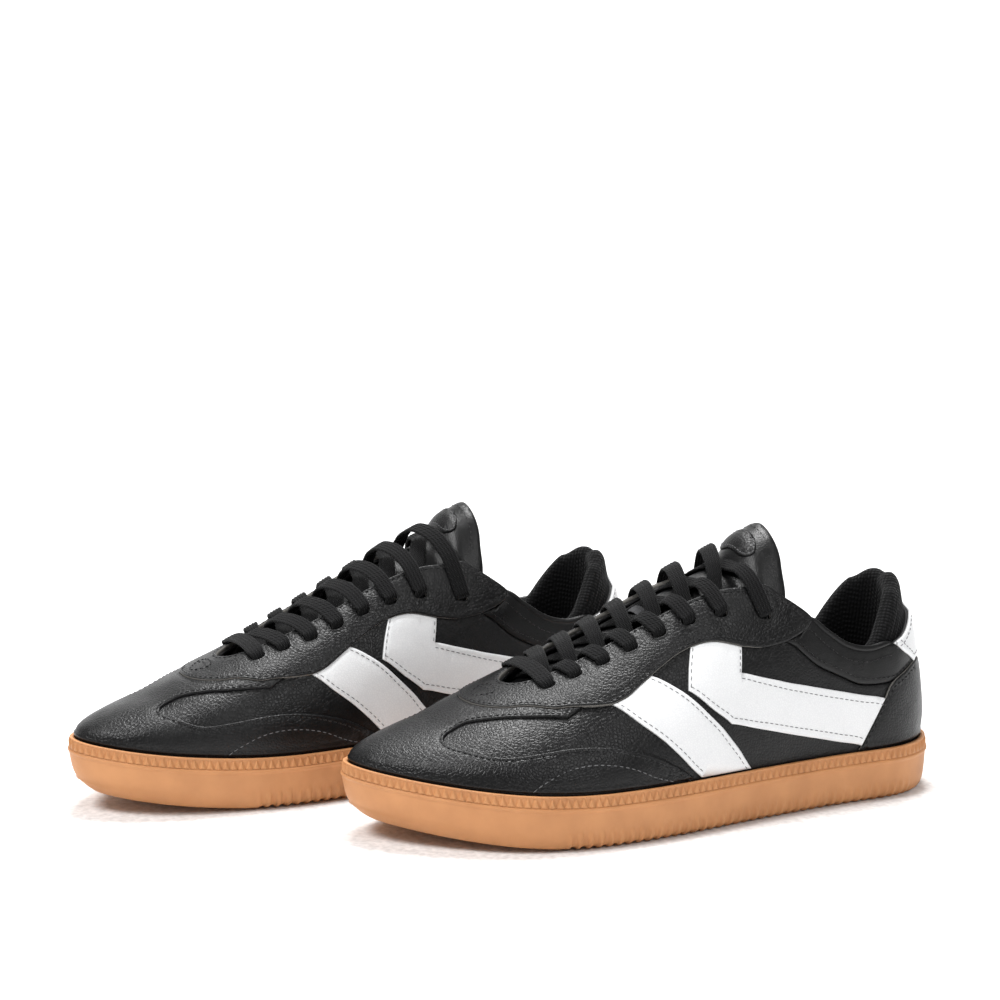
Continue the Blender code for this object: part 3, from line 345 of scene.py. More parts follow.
def inside(points, loop):
    """Which points lie inside a closed loop."""
    x, y = points[:, 0][:, None], points[:, 1][:, None]
    x0, y0 = loop[:, 0][None], loop[:, 1][None]
    x1, y1 = np.roll(loop[:, 0], -1)[None], np.roll(loop[:, 1], -1)[None]
    crosses = (y0 > y) != (y1 > y)
    with np.errstate(divide="ignore", invalid="ignore"):
        at = x0 + (y - y0) / (y1 - y0) * (x1 - x0)
    return (np.sum(crosses & (x < at), axis=1) % 2) == 1


def distance_to(points, loop):
    first = loop[None]
    span = np.roll(loop, -1, axis=0)[None] - first
    away = points[:, None] - first
    t = np.clip(np.sum(away * span, 2) / np.maximum(np.sum(span * span, 2), 1e-12), 0, 1)
    return np.min(np.linalg.norm(away - span * t[..., None], axis=2), axis=1)


def rim_edges(faces):
    seen = {}
    for a, b, c in faces:
        for edge in ((a, b), (b, c), (c, a)):
            seen[edge] = True
    return [edge for edge in seen if (edge[1], edge[0]) not in seen]


# Lines that the upper's panels share. Each is given for one side of the foot, and the other side mirrors it.
WELT = up_at(24.8)
TUCK = SOLE_BOTTOM + WEDGE_HEIGHT + 1.6
ROW_RUN = [run_at(run) for run in (205.0, 193.0, 180.0, 167.0, 153.5, 139.5, 124.5, 103.5)]
ROW_OUT = [out_at(out) for out in (20.5, 22.5, 24.0, 24.5, 24.5, 25.0, 25.6, 27.4)]
SEAM_HEAD = run_at(173.5)
HEAD_OUT = out_at(16.9)
THROAT_FRONT = graded_out([(218.0, 0.0), (216.8, 5.0), (212.5, 9.6), (205.0, 12.5), (193.0, 14.8),
                           (180.0, 16.4)])
THROAT_FRONT += [(SEAM_HEAD, HEAD_OUT)]
THROAT_REAR = [(SEAM_HEAD, HEAD_OUT)]
THROAT_REAR += graded_out([(167.0, 17.2), (153.5, 17.5), (139.5, 18.0), (124.5, 18.8)])
THROAT_REAR += graded_out([(110.0, 20.4), (100.0, 21.6)])
TOP_EDGE = graded([(94.0, 99.6), (87.0, 95.0), (79.0, 88.6)])
TOPLINE = graded([(79.0, 88.6), (70.0, 81.2), (59.0, 74.0), (47.0, 71.4), (33.5, 72.4)])
TAB_EDGE = graded([(33.5, 72.4), (26.5, 75.2), (21.0, 79.6), (17.0, 84.6)])
TAB_TOP = up_at(88.0)
EYESTAY_TIP = graded_out([(236.0, 0.0), (235.2, 7.0), (232.0, 14.0), (226.0, 20.5), (218.0, 25.0)])
EYESTAY_SIDE = graded([(209.0, 56.6), (202.4, 57.5), (192.0, 58.2), (184.6, 58.8)])
STRIPE_HEAD = graded([(184.6, 58.8), (177.3, 61.4), (169.5, 66.0), (163.7, 69.4)])
EYESTAY_HOLLOW = graded([(163.7, 69.4), (157.0, 73.2), (150.0, 77.0), (142.6, 80.0)])
ARROW_HEAD = graded([(142.6, 80.0), (136.5, 81.4), (130.7, 81.7), (124.0, 80.4), (117.5, 78.6)])
EYESTAY_REAR = graded([(117.5, 78.6), (110.0, 77.4), (104.7, 77.2), (96.6, 78.2), (93.5, 78.8)])
EYESTAY_HEEL = graded([(93.5, 78.8), (86.0, 81.6), (81.0, 84.6), (79.0, 88.6)])
COLLAR_SEAM = graded([(93.5, 78.8), (77.2, 66.6), (59.5, 57.8), (48.0, 54.6), (35.0, 54.4), (26.0, 57.5),
                      (14.0, 60.0)])
BACK_SEAM_TOP = up_at(61.0)
HEEL_MARK = up_at(62.0)
SEAM_FOOT = run_at(131.0)
SEAM = [(SEAM_FOOT, TUCK), (SEAM_FOOT, WELT)] + graded([(137.0, 40.0), (148.0, 56.0), (163.0, 66.5),
                                                        (172.0, 70.5)])
MUDGUARD_FOOT = run_at(149.0)
MUDGUARD = [(MUDGUARD_FOOT, WELT)]
MUDGUARD += graded([(153.5, 28.6), (160.5, 32.8), (170.0, 37.6), (180.6, 40.7), (196.4, 43.1)])
MUDGUARD += graded([(209.7, 42.5), (226.8, 39.4), (238.7, 37.6)])
LOBE = graded_out([(249.0, 32.8), (255.0, 24.5), (252.5, 18.5), (244.0, 17.8), (234.0, 23.0), (222.0, 29.5)])
LOBE_MEDIAL = graded_out([(247.5, 28.0), (254.0, 21.0), (252.0, 16.5), (244.0, 16.8), (234.0, 22.0),
                          (222.0, 28.5)])
LOBE_TAIL = graded([(205.0, 54.0)])
FRONT_STRIPE_REAR = graded([(163.7, 69.4), (153.5, 64.0), (141.4, 53.8), (130.5, 42.6), (122.3, 32.4),
                            (117.0, 24.8)])
FRONT_STRIPE_FRONT = graded([(145.5, 24.8), (152.4, 31.2), (162.8, 41.5), (174.8, 51.2), (184.6, 58.8)])
ARROW_NOTCH = graded([(117.5, 78.6), (119.6, 67.7)])
ARROW_TOP = graded(straight([(119.6, 67.7), (90.1, 59.8), (39.5, 47.6)]))
ARROW_END = graded([(39.5, 47.6), (46.0, 37.5), (53.0, 26.6)])
ARROW_FOOT = graded(straight([(53.0, 26.6), (90.9, 36.2), (127.5, 46.0)]))
ARROW_FRONT = graded(straight([(127.5, 46.0), (148.4, 62.6)]))
ARROW_TIP = graded([(148.4, 62.6), (145.9, 71.5), (142.6, 80.0)])
COUNTER_EDGE = graded([(54.5, 24.8), (53.0, 26.6), (46.0, 37.5), (39.5, 47.6), (35.0, 54.4), (26.0, 58.6),
                       (18.0, 61.3)])
COUNTER_TOP = graded([(18.0, 61.3), (12.0, 62.0)])
TAB_FRONT = graded([(18.0, 61.3), (26.0, 67.0), (33.5, 72.4)])
RIM = graded([(112.0, 76.0), (104.0, 84.0), (96.0, 89.5), (88.0, 91.5), (80.0, 88.0), (70.0, 80.0),
              (59.0, 73.2)])
RIM += graded([(49.0, 71.2), (42.0, 75.0), (36.0, 83.0), (30.0, 91.0), (25.0, 96.5), (20.0, 99.3),
               (0.0, 100.5)])
LINING_SPLIT = run_at(112.0)

TONGUE_EDGE = graded_out([(221.0, 9.0), (214.0, 15.0), (206.0, 21.0), (185.0, 27.0), (160.0, 29.0),
                          (135.0, 28.5)])
TONGUE_EDGE += graded_out([(120.0, 25.0), (108.0, 21.0)])
PATCH_EDGE = graded_out([(105.5, 6.0), (104.5, 10.0), (101.0, 12.5), (98.0, 11.5), (96.0, 7.0), (95.5, 0.0)])


TAIL_TOP = up_at(83.0)
FLAP_START = run_at(108.0)


class Line:
    """A sampled line on the sheet that two panels can share."""

    def __init__(self, points, by="up", step=EDGE_STEP):
        self.parts = {}
        for side in (1, -1):
            place = side_point if by == "up" else top_point
            self.parts[side] = sampled([place(p[0], p[1], side) for p in points], step)

    def on(self, side, back=False):
        line = self.parts[side]
        return line[::-1] if back else line


def sampled(points, step=EDGE_STEP):
    return np.vstack([curve(points, step), points[-1]])


def ring_of(*lines):
    """One closed loop from lines that follow each other."""
    loop = []
    for line in lines:
        for point in line:
            if not loop or np.linalg.norm(point - loop[-1]) > 0.05:
                loop.append(point)
    if np.linalg.norm(loop[0] - loop[-1]) < 0.05:
        loop.pop()
    return np.array(loop)


def drawn_in(loop, gap):
    """The loop moved inward by a gap."""
    x, y = loop[:, 0], loop[:, 1]
    area = np.sum(x * np.roll(y, -1) - np.roll(x, -1) * y)
    ahead = np.roll(loop, -1, axis=0) - loop
    ahead /= np.linalg.norm(ahead, axis=1)[:, None]
    normal = np.stack([-ahead[:, 1], ahead[:, 0]], axis=1) * (1 if area > 0 else -1)
    before = np.roll(normal, 1, axis=0)
    mean = normal + before
    mean /= np.maximum(np.sum(mean * normal, axis=1), 0.35)[:, None]
    return loop + mean * gap


def mixed(points_top, points_side):
    """A line whose first points are seen from above and whose last are heights on the side."""
    made = Line(TOPLINE)
    for side in (1, -1):
        first = [top_point(p[0], p[1], side) for p in points_top]
        last = [side_point(p[0], p[1], side) for p in points_side]
        made.parts[side] = sampled(first + last)
    return made


def heel_line(low, high):
    return sampled([side_point(0.0, low), side_point(0.0, high)])


def toe_round(up, run):
    """The line at one height from the inner side round the toe to the outer side."""
    mid, long, wide, back, front = oval(up)
    turn = angle_on(up, run, 1)
    count = max(2, int(round(turn * (long + wide) / EDGE_STEP)))
    at = np.linspace(-turn, turn, count + 1)
    return np.stack([mid + long * np.cos(at), wide * np.sin(at)], axis=1)


def heel_round(up, run, side):
    """The line at one height from a place on one side back to the middle of the heel."""
    mid, long, wide, back, front = oval(up)
    start = angle_on(up, run, 1)
    count = max(2, int(round((math.pi - start) * 0.5 * (long + wide) / EDGE_STEP)))
    at = np.linspace(start, math.pi, count + 1)
    return np.stack([mid + long * np.cos(at), side * wide * np.sin(at)], axis=1)


def ways(row, side):
    """An eyelet's sheet point, and the sheet steps that move 1 mm along its row and 1 mm outward."""
    run, out = ROW_RUN[row], ROW_OUT[row]
    spots = np.array([top_point(run, out, side), top_point(run + 2.0, out - 0.2, side),
                      top_point(run, out + 1.5, side)])
    real = surface(spots)
    along = (spots[1] - spots[0]) / np.linalg.norm(real[1] - real[0])
    away = (spots[2] - spots[0]) / np.linalg.norm(real[2] - real[0])
    return spots[0], along, away


def beside(row, side, inward):
    """Sheet point a real distance inward from an eyelet."""
    place, along, away = ways(row, side)
    return place - away * inward


STRAND_AT = [0.1, 0.18, 0.26, 0.35, 0.48, 0.6, 0.7, 0.78, 0.88]
ABOVE_EYESTAY = 0.65
ABOVE_TONGUE = 0.7
TURN_REACH = 0.92


def strand_places():
    """The lace's line as sheet points and lifts, in order along the lace."""
    over = OVERLAY_GAP + OVERLAY + ABOVE_EYESTAY + LACE_THICK / 2
    under = TONGUE_OUTER + ABOVE_TONGUE + LACE_THICK / 2
    middle = 0.5 * (over + under)
    radius = 0.5 * (over - under)

    def turn(row, side):
        """From over the eyestay, down through the slot and back under its edge."""
        made = []
        for angle in np.linspace(0, math.pi, 6):
            inward = radius * TURN_REACH * (1 - math.sin(angle))
            made.append((beside(row, side, inward), middle + radius * math.cos(angle)))
        return made

    def strand(row, side, high):
        """From under one side's edge at a row to over the other side at the next row."""
        start = surface(beside(row, side, radius * TURN_REACH))[0]
        end = surface(beside(row + 1, -side, radius * TURN_REACH))[0]
        made = []
        if high:
            lifts = [(0.0, under), (0.13, under), (0.2, under + 1.5), (0.3, under + 4.2), (0.42, over - 0.4)]
            lifts += [(0.6, over), (0.8, over), (1.0, over)]
        else:
            lifts = [(0.0, under), (0.5, under), (0.62, under + 0.2), (0.7, under + 1.4), (0.8, over - 0.9)]
            lifts += [(0.87, over), (1.0, over)]
        for t in STRAND_AT:
            run, out = (start + (end - start) * t)[:2]
            made.append((top_point(run, out - lacing_line(run)), float(through(lifts, t))))
        return made

    def chain(side):
        """Lace from the first row's middle to the last row, on the side it starts towards."""
        made = []
        first = surface(beside(0, side, radius * TURN_REACH))[0]
        for t in np.linspace(0.0, 1.0, 6)[0:-1]:
            out = (first[1] - lacing_line(first[0])) * t
            made.append((top_point(first[0], out), over))
        for row in range(ROWS - 1):
            made += turn(row, side)
            made += strand(row, side, side > 0)
            side = -side
        row = ROWS - 1
        for inward, lift in ((2.0, over), (0.9, over - 0.8), (0.0, middle), (-0.9, under + 0.8),
                             (-2.2, under)):
            made.append((beside(row, side, inward), lift))
        made.append((side_point(ROW_RUN[row] + 1.2, TAIL_TOP, side), under))
        made.append((side_point(ROW_RUN[row] + 2.0, TAIL_TOP - TAIL, side), under))
        return made, side

    first, first_side = chain(1)
    second, second_side = chain(-1)
    return second[::-1] + first[1:], (second_side, first_side)


def lace_width_way(sheet, ahead):
    """The flat way across the ribbon: along the shoe, square to the ribbon's run."""
    along = surface(sheet + [NORMAL_STEP, 0.0]) - surface(sheet - [NORMAL_STEP, 0.0])
    along = along / np.linalg.norm(along, axis=1)[:, None]
    for i in range(1, len(along)):
        if along[i] @ along[i - 1] < 0:
            along[i] = -along[i]
    wide = along - ahead * np.sum(along * ahead, axis=1)[:, None]
    wide /= np.linalg.norm(wide, axis=1)[:, None]
    return wide


# Materials
class Nodes:
    """Short helpers to build one material's node tree."""

    def __init__(self, name, base, roughness, **sockets):
        self.material = bpy.data.materials.new(name)
        self.material.use_nodes = True
        self.tree = self.material.node_tree
        self.shader = self.tree.nodes["Principled BSDF"]
        self.shader.inputs["Base Color"].default_value = (*base, 1.0)
        self.shader.inputs["Roughness"].default_value = roughness
        for key, value in sockets.items():
            self.shader.inputs[key.replace("_", " ")].default_value = value
        self.place = self.tree.nodes.new("ShaderNodeTexCoord").outputs["Object"]

    def link(self, out, into):
        self.tree.links.new(out, into)

    def node(self, kind, place=None, scale=None, **values):
        made = self.tree.nodes.new(kind)
        for key, value in values.items():
            if hasattr(made, key):
                setattr(made, key, value)
            else:
                made.inputs[key.replace("_", " ")].default_value = value
        if scale is not None:
            made.inputs["Scale"].default_value = scale
        if place is not None:
            self.link(place, made.inputs["Vector"])
        return made

    def math(self, kind, a, b):
        made = self.tree.nodes.new("ShaderNodeMath")
        made.operation = kind
        for i, value in enumerate((a, b)):
            if isinstance(value, (int, float)):
                made.inputs[i].default_value = value
            else:
                self.link(value, made.inputs[i])
        return made.outputs[0]

    def ramp(self, value, low, high, a=0.0, b=1.0):
        made = self.tree.nodes.new("ShaderNodeMapRange")
        made.inputs["From Min"].default_value = low
        made.inputs["From Max"].default_value = high
        made.inputs["To Min"].default_value = a
        made.inputs["To Max"].default_value = b
        self.link(value, made.inputs["Value"])
        return made.outputs[0]

    def mix(self, value, first, second):
        made = self.tree.nodes.new("ShaderNodeMix")
        made.data_type = "RGBA"
        made.inputs["A"].default_value = (*first, 1.0)
        made.inputs["B"].default_value = (*second, 1.0)
        self.link(value, made.inputs["Factor"])
        return made.outputs["Result"]

    def bump(self, height, distance, strength=1.0, after=None):
        made = self.tree.nodes.new("ShaderNodeBump")
        made.inputs["Distance"].default_value = distance
        made.inputs["Strength"].default_value = strength
        self.link(height, made.inputs["Height"])
        if after is not None:
            self.link(after, made.inputs["Normal"])
        return made.outputs["Normal"]

    def into(self, socket, value):
        self.link(value, self.shader.inputs[socket])


def leather(name, dark, light, roughness, grain, depth):
    """Tumbled leather: rounded pebbles between fine creases, with broad soft unevenness."""
    n = Nodes(name, light, roughness)
    n.shader.inputs["Specular IOR Level"].default_value = 0.3
    pebbles = n.node("ShaderNodeTexVoronoi", n.place, grain, feature="DISTANCE_TO_EDGE", Randomness=1.0)
    creases = n.ramp(pebbles.outputs["Distance"], 0.0, 0.22)
    fine = n.node("ShaderNodeTexNoise", n.place, grain * 3.4, Detail=4.0, Roughness=0.6)
    broad = n.node("ShaderNodeTexNoise", n.place, 55.0, Detail=3.0)
    height = n.math("ADD", creases, n.math("MULTIPLY", fine.outputs["Fac"], 0.5))
    n.into("Normal", n.bump(height, depth, 0.55, n.bump(broad.outputs["Fac"], 0.0009, 0.5)))
    shade = n.math("MULTIPLY", creases, n.ramp(broad.outputs["Fac"], 0.3, 0.7, 0.75, 1.0))
    n.into("Base Color", n.mix(shade, dark, light))
    n.into("Roughness", n.ramp(n.math("ADD", fine.outputs["Fac"], broad.outputs["Fac"]), 0.7, 1.3,
                               roughness - 0.07, roughness + 0.1))
    return n.material


def knit(name, dark, light, scale):
    """Spacer mesh: rows of small raised loops, with painted shade in the pits between them."""
    n = Nodes(name, light, 0.85, Specular_IOR_Level=0.1)
    n.shader.inputs["Sheen Weight"].default_value = 0.05
    turned = n.node("ShaderNodeMapping", n.place)
    turned.inputs["Rotation"].default_value = (0.5, 0.35, 0.785)
    cells = n.node("ShaderNodeTexVoronoi", turned.outputs["Vector"], scale, feature="F1", Randomness=0.18)
    loops_and_pit_shade = n.ramp(cells.outputs["Distance"], 0.15, 0.62, 1.0, 0.0)
    fuzz = n.node("ShaderNodeTexNoise", n.place, scale * 4.0, Detail=3.0)
    height = n.math("ADD", loops_and_pit_shade, n.math("MULTIPLY", fuzz.outputs["Fac"], 0.3))
    n.into("Normal", n.bump(height, 0.0006, 0.8))
    # Base colour follows the loops' height: the dark pits are painted shade.
    n.into("Base Color", n.mix(loops_and_pit_shade, dark, light))
    n.into("Roughness", n.ramp(fuzz.outputs["Fac"], 0.3, 0.7, 0.75, 0.95))
    return n.material


def woven(name, dark, light, rows, columns):
    """Flat woven ribbon: the weave runs with the ribbon's own length, with painted shade between its threads.
    """
    n = Nodes(name, light, 0.8, Specular_IOR_Level=0.12)
    n.shader.inputs["Sheen Weight"].default_value = 0.06
    ribbon = n.tree.nodes.new("ShaderNodeUVMap")
    ribbon.uv_map = "ribbon"
    parts = n.tree.nodes.new("ShaderNodeSeparateXYZ")
    n.link(ribbon.outputs["UV"], parts.inputs["Vector"])
    along = n.math("SINE", n.math("MULTIPLY", parts.outputs["X"], columns), 0.0)
    across = n.math("SINE", n.math("MULTIPLY", parts.outputs["Y"], rows), 0.0)
    slant = n.math("SINE", n.math("ADD", n.math("MULTIPLY", parts.outputs["X"], columns * 0.5),
                                  n.math("MULTIPLY", parts.outputs["Y"], rows)), 0.0)
    threads = n.math("ADD", n.math("MULTIPLY", along, across), n.math("MULTIPLY", slant, 0.6))
    fuzz = n.node("ShaderNodeTexNoise", n.place, 2600.0, Detail=3.0)
    height = n.math("ADD", threads, fuzz.outputs["Fac"])
    n.into("Normal", n.bump(height, 0.00012, 0.9))
    # Base colour follows the weave's height: darker between the threads as painted shade.
    n.into("Base Color", n.mix(n.ramp(height, -0.8, 2.0), dark, light))
    n.into("Roughness", n.ramp(fuzz.outputs["Fac"], 0.3, 0.7, 0.72, 0.92))
    return n.material


def rubber(name, dark, light, roughness):
    """Moulded gum rubber: fine mould texture, slight cloudiness and dusty wear."""
    n = Nodes(name, light, roughness)
    n.shader.inputs["Subsurface Weight"].default_value = 0.06
    n.shader.inputs["Subsurface Radius"].default_value = (0.004, 0.002, 0.001)
    fine = n.node("ShaderNodeTexNoise", n.place, 2400.0, Detail=3.0)
    broad = n.node("ShaderNodeTexNoise", n.place, 70.0, Detail=4.0)
    n.into("Normal", n.bump(fine.outputs["Fac"], 0.00012, 0.6))
    n.into("Base Color", n.mix(n.ramp(broad.outputs["Fac"], 0.3, 0.7), dark, light))
    n.into("Roughness", n.ramp(fine.outputs["Fac"], 0.3, 0.7, roughness - 0.05, roughness + 0.1))
    return n.material


def thread(name, colour):
    n = Nodes(name, colour, 0.7, Specular_IOR_Level=0.15)
    n.shader.inputs["Sheen Weight"].default_value = 0.2
    ply = n.node("ShaderNodeTexWave", n.place, 1500.0, bands_direction="DIAGONAL", Distortion=1.0)
    n.into("Normal", n.bump(ply.outputs["Fac"], 0.00008, 0.8))
    # Darker in the ply grooves, where the twist is shaded: painted shade.
    n.into("Base Color", n.mix(ply.outputs["Fac"], tuple(0.6 * c for c in colour), colour))
    return n.material


def plain(name, colour, roughness, scale):
    """Foam, board or plastic with a fine surface."""
    n = Nodes(name, colour, roughness, Specular_IOR_Level=0.25)
    grain = n.node("ShaderNodeTexNoise", n.place, scale, Detail=4.0)
    n.into("Normal", n.bump(grain.outputs["Fac"], 0.0002, 0.5))
    n.into("Base Color", n.mix(n.ramp(grain.outputs["Fac"], 0.3, 0.7), tuple(0.75 * c for c in colour),
                               colour))
    return n.material


BLACK = leather("black_leather", (0.0012, 0.0012, 0.0014), (0.0034, 0.0034, 0.0037), 0.36, 620.0, 0.00016)
SMOOTH = leather("black_smooth_leather", (0.0014, 0.0014, 0.0015), (0.0036, 0.0036, 0.0038), 0.34, 900.0,
                 0.00007)
WHITE = leather("white_leather", (0.74, 0.745, 0.755), (0.80, 0.805, 0.81), 0.42, 900.0, 0.00005)
MESH = knit("black_mesh", (0.0007, 0.0007, 0.0008), (0.0075, 0.0075, 0.008), 620.0)
CLOTH = knit("black_lining_cloth", (0.002, 0.002, 0.002), (0.007, 0.007, 0.0075), 900.0)
LACE = woven("black_lace", (0.0008, 0.0008, 0.0009), (0.0075, 0.0075, 0.008), 22.0, 4200.0)
LOOP = woven("grey_webbing", (0.03, 0.03, 0.032), (0.11, 0.11, 0.115), 22.0, 4200.0)
GUM = rubber("gum_rubber", (0.47, 0.205, 0.075), (0.55, 0.25, 0.096), 0.55)
DARK_THREAD = thread("dark_thread", (0.006, 0.006, 0.0065))
GREY_THREAD = thread("grey_thread", (0.16, 0.16, 0.165))
# Pale grey cut edge of the eyestay and heel counter: partly the leather's pale raw edge, partly a painted
# highlight on the rolled edge.
PALE_EDGE_AND_HIGHLIGHT = plain("pale_cut_edge_and_painted_highlight", (0.2, 0.19, 0.175), 0.8, 1500.0)
EDGE_BLACK = plain("dark_leather_edge", (0.014, 0.014, 0.0145), 0.6, 1500.0)
EDGE_WHITE = plain("pale_leather_edge", (0.5, 0.5, 0.5), 0.7, 1500.0)
FOAM = plain("sole_foam", (0.55, 0.55, 0.52), 0.9, 900.0)
BOARD = plain("lasting_board", (0.5, 0.42, 0.3), 0.85, 700.0)
PLASTIC = plain("dark_plastic", (0.02, 0.02, 0.021), 0.3, 1200.0)

SHOES = ((False, "left_"), (True, "right_"))


def placed(points, right):
    """World places of shoe points (run, out, up)."""
    points = np.asarray(points, float)
    start = 0.5 * (SOLE_LENGTH + STAGGER) - (STAGGER if right else 0.0)
    x = 0.5 * CENTRE_TO_CENTRE + points[:, 1]
    if right:
        x = -x
    return np.stack([x, start - points[:, 0], points[:, 2]], axis=1) * MM


def add(name, points, faces, materials, stands_for=(), body="shoe", which=None, ribbon=None,
        smooth=True):
    """Both shoes' copies of one visible piece.

    which gives each face's material, and ribbon gives each point's weave place."""
    made = []
    for right, side in SHOES:
        mesh = bpy.data.meshes.new(side + name + "_skin")
        turned = [tuple(reversed(f)) for f in faces] if right else [tuple(f) for f in faces]
        mesh.from_pydata([tuple(p) for p in placed(points, right)], [], turned)
        for material in materials:
            mesh.materials.append(material)
        if which is not None:
            mesh.polygons.foreach_set("material_index", np.asarray(which, np.int32))
        mesh.polygons.foreach_set("use_smooth", np.full(len(turned), smooth))
        if ribbon is not None:
            layer = mesh.uv_layers.new(name="ribbon")
            corners = np.empty(len(mesh.loops), np.int32)
            mesh.loops.foreach_get("vertex_index", corners)
            layer.data.foreach_set("uv", np.asarray(ribbon)[corners].ravel())
        mesh.update()
        piece = bpy.data.objects.new(side + name + "_skin", mesh)
        bpy.context.scene.collection.objects.link(piece)
        if stands_for:
            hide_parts(*[side + node for node in stands_for])
        if body == "blend":
            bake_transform(piece)
        else:
            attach(piece, side + body)
        made.append(piece)
    return made


def waviness(points, size, amount):
    """Slow random height at places, in millimetres."""
    return np.array([noise.noise(Vector(p) / size) for p in points]) * amount


FINE = 2.7
ROW_TO_ROW = 0.866
SLIVER = 1e-5


def fine_sheet(loop, holes, rows):
    """Flat points and triangles of a panel, with rows of points following its edges."""
    edges = [(i, (i + 1) % len(loop)) for i in range(len(loop))]
    points = [loop]
    for hole in holes:
        first = sum(len(p) for p in points)
        points.append(hole)
        edges += [(first + i, first + (i + 1) % len(hole)) for i in range(len(hole))]
    low, high = loop.min(axis=0), loop.max(axis=0)
    extra = []
    for row in rows:
        extra.append(drawn_in(loop, row))
        for hole in holes:
            extra.append(drawn_in(hole, -row))
    xs = np.arange(low[0], high[0], FINE)
    ys = np.arange(low[1], high[1], FINE * ROW_TO_ROW)
    grid = [np.stack([xs + 0.5 * FINE * (j % 2), np.full(len(xs), y)], axis=1) for j, y in enumerate(ys)]
    for group, clear in [(e, None) for e in extra] + [(np.vstack(grid), rows[-1] + 0.9)]:
        keep = inside(group, loop)
        away = distance_to(group, loop)
        for hole in holes:
            keep &= ~inside(group, hole)
            away = np.minimum(away, distance_to(group, hole))
        keep &= away > (clear if clear is not None else 0.8 * rows[0])
        points.append(group[keep])
    flat = np.vstack(points)
    made = delaunay_2d_cdt([Vector(p) for p in flat], edges, [], 0, SLIVER)
    flat = np.array([tuple(v) for v in made[0]])
    faces = np.array([list(f) for f in made[2]])
    middle = flat[faces].mean(axis=1)
    keep = inside(middle, loop)
    for hole in holes:
        keep &= ~inside(middle, hole)
    corner = flat[faces]
    one, two = corner[:, 1] - corner[:, 0], corner[:, 2] - corner[:, 0]
    area = one[:, 0] * two[:, 1] - one[:, 1] * two[:, 0]
    keep &= np.abs(area) > SLIVER
    faces, area = faces[keep], area[keep]
    faces[area < 0] = faces[area < 0][:, ::-1]
    used = np.unique(faces)
    number = np.full(len(flat), -1)
    number[used] = np.arange(len(used))
    flat, faces = flat[used], number[faces]
    away = distance_to(flat, loop)
    for hole in holes:
        away = np.minimum(away, distance_to(flat, hole))
    return flat, faces, away


EDGE_ROWS = (0.3, 0.8, 1.5, 2.2)
SEAM_DIP = 0.55
WAVE_SIZE = 17.0
WAVE_CLEAR = 6.0


def panel(name, loop, inner, outer, materials, stands_for, holes=(), edge=0.5, seam=0.12, seam_at=1.5,
          body="shoe", wave=0.25, rows=EDGE_ROWS, inner_edge=0.0, edge_width=0.8):
    """A sewn panel laid on the last, with rolled edges and a soft dip along its stitches."""
    flat, faces, away = fine_sheet(loop, holes, rows)
    low = inner(flat) if callable(inner) else np.full(len(flat), float(inner))
    high = outer(flat) if callable(outer) else np.full(len(flat), float(outer))
    t = np.clip(1 - away / edge_width, 0, 1)
    rolled = 1 - np.sqrt(np.maximum(1 - t * t, 0))
    high = high - edge * rolled - seam * np.exp(-((away - seam_at) / SEAM_DIP) ** 2)
    low = low + inner_edge * rolled
    base = surface(flat)
    high = high + waviness(base, WAVE_SIZE, wave) * np.clip(away / WAVE_CLEAR, 0, 1)
    normal = facing_out(flat)
    top, bottom = base + normal * high[:, None], base + normal * low[:, None]
    count = len(flat)
    made = [tuple(f) for f in faces]
    which = [0] * len(faces)
    made += [(f[2] + count, f[1] + count, f[0] + count) for f in faces]
    which += [0] * len(faces)
    for a, b in rim_edges(faces):
        made.append((a, a + count, b + count, b))
        which.append(1 if len(materials) > 1 else 0)
    return add(name, np.vstack([top, bottom]), made, materials, stands_for, body, which)


STITCH_LONG = 2.1
STITCH_PITCH = 2.9
STITCH_SIDES = 6
STITCH_RINGS = 5
STITCHES = {}


def stitched(kind, line, lift, pitch=STITCH_PITCH, long=STITCH_LONG, wide=0.42, closed=False, body="shoe"):
    """Notes a row of stitches along sheet points, to be made with the others of its kind."""
    line = np.asarray(line, float)
    if closed:
        line = np.vstack([line, line[:1]])
    heights = lift(line) if callable(lift) else np.full(len(line), float(lift))
    base = surface(line)
    normal = facing_out(line)
    real = base + normal * heights[:, None]
    length = np.concatenate([[0], np.cumsum(np.linalg.norm(np.diff(real, axis=0), axis=1))])
    count = int(length[-1] // pitch)
    if count < 1:
        return
    at = (np.arange(count) + 0.5) * length[-1] / count

    def read(values, where):
        return np.stack([np.interp(where, length, values[:, k]) for k in range(3)], axis=1)

    middle = read(real, at)
    ahead = read(real, at + 0.45 * pitch) - read(real, at - 0.45 * pitch)
    ahead /= np.maximum(np.linalg.norm(ahead, axis=1), 1e-9)[:, None]
    up = read(normal, at)
    up -= ahead * np.sum(up * ahead, axis=1)[:, None]
    up /= np.linalg.norm(up, axis=1)[:, None]
    side = np.cross(ahead, up)
    STITCHES.setdefault((kind, body), []).append((middle, ahead, up, side, long, wide))


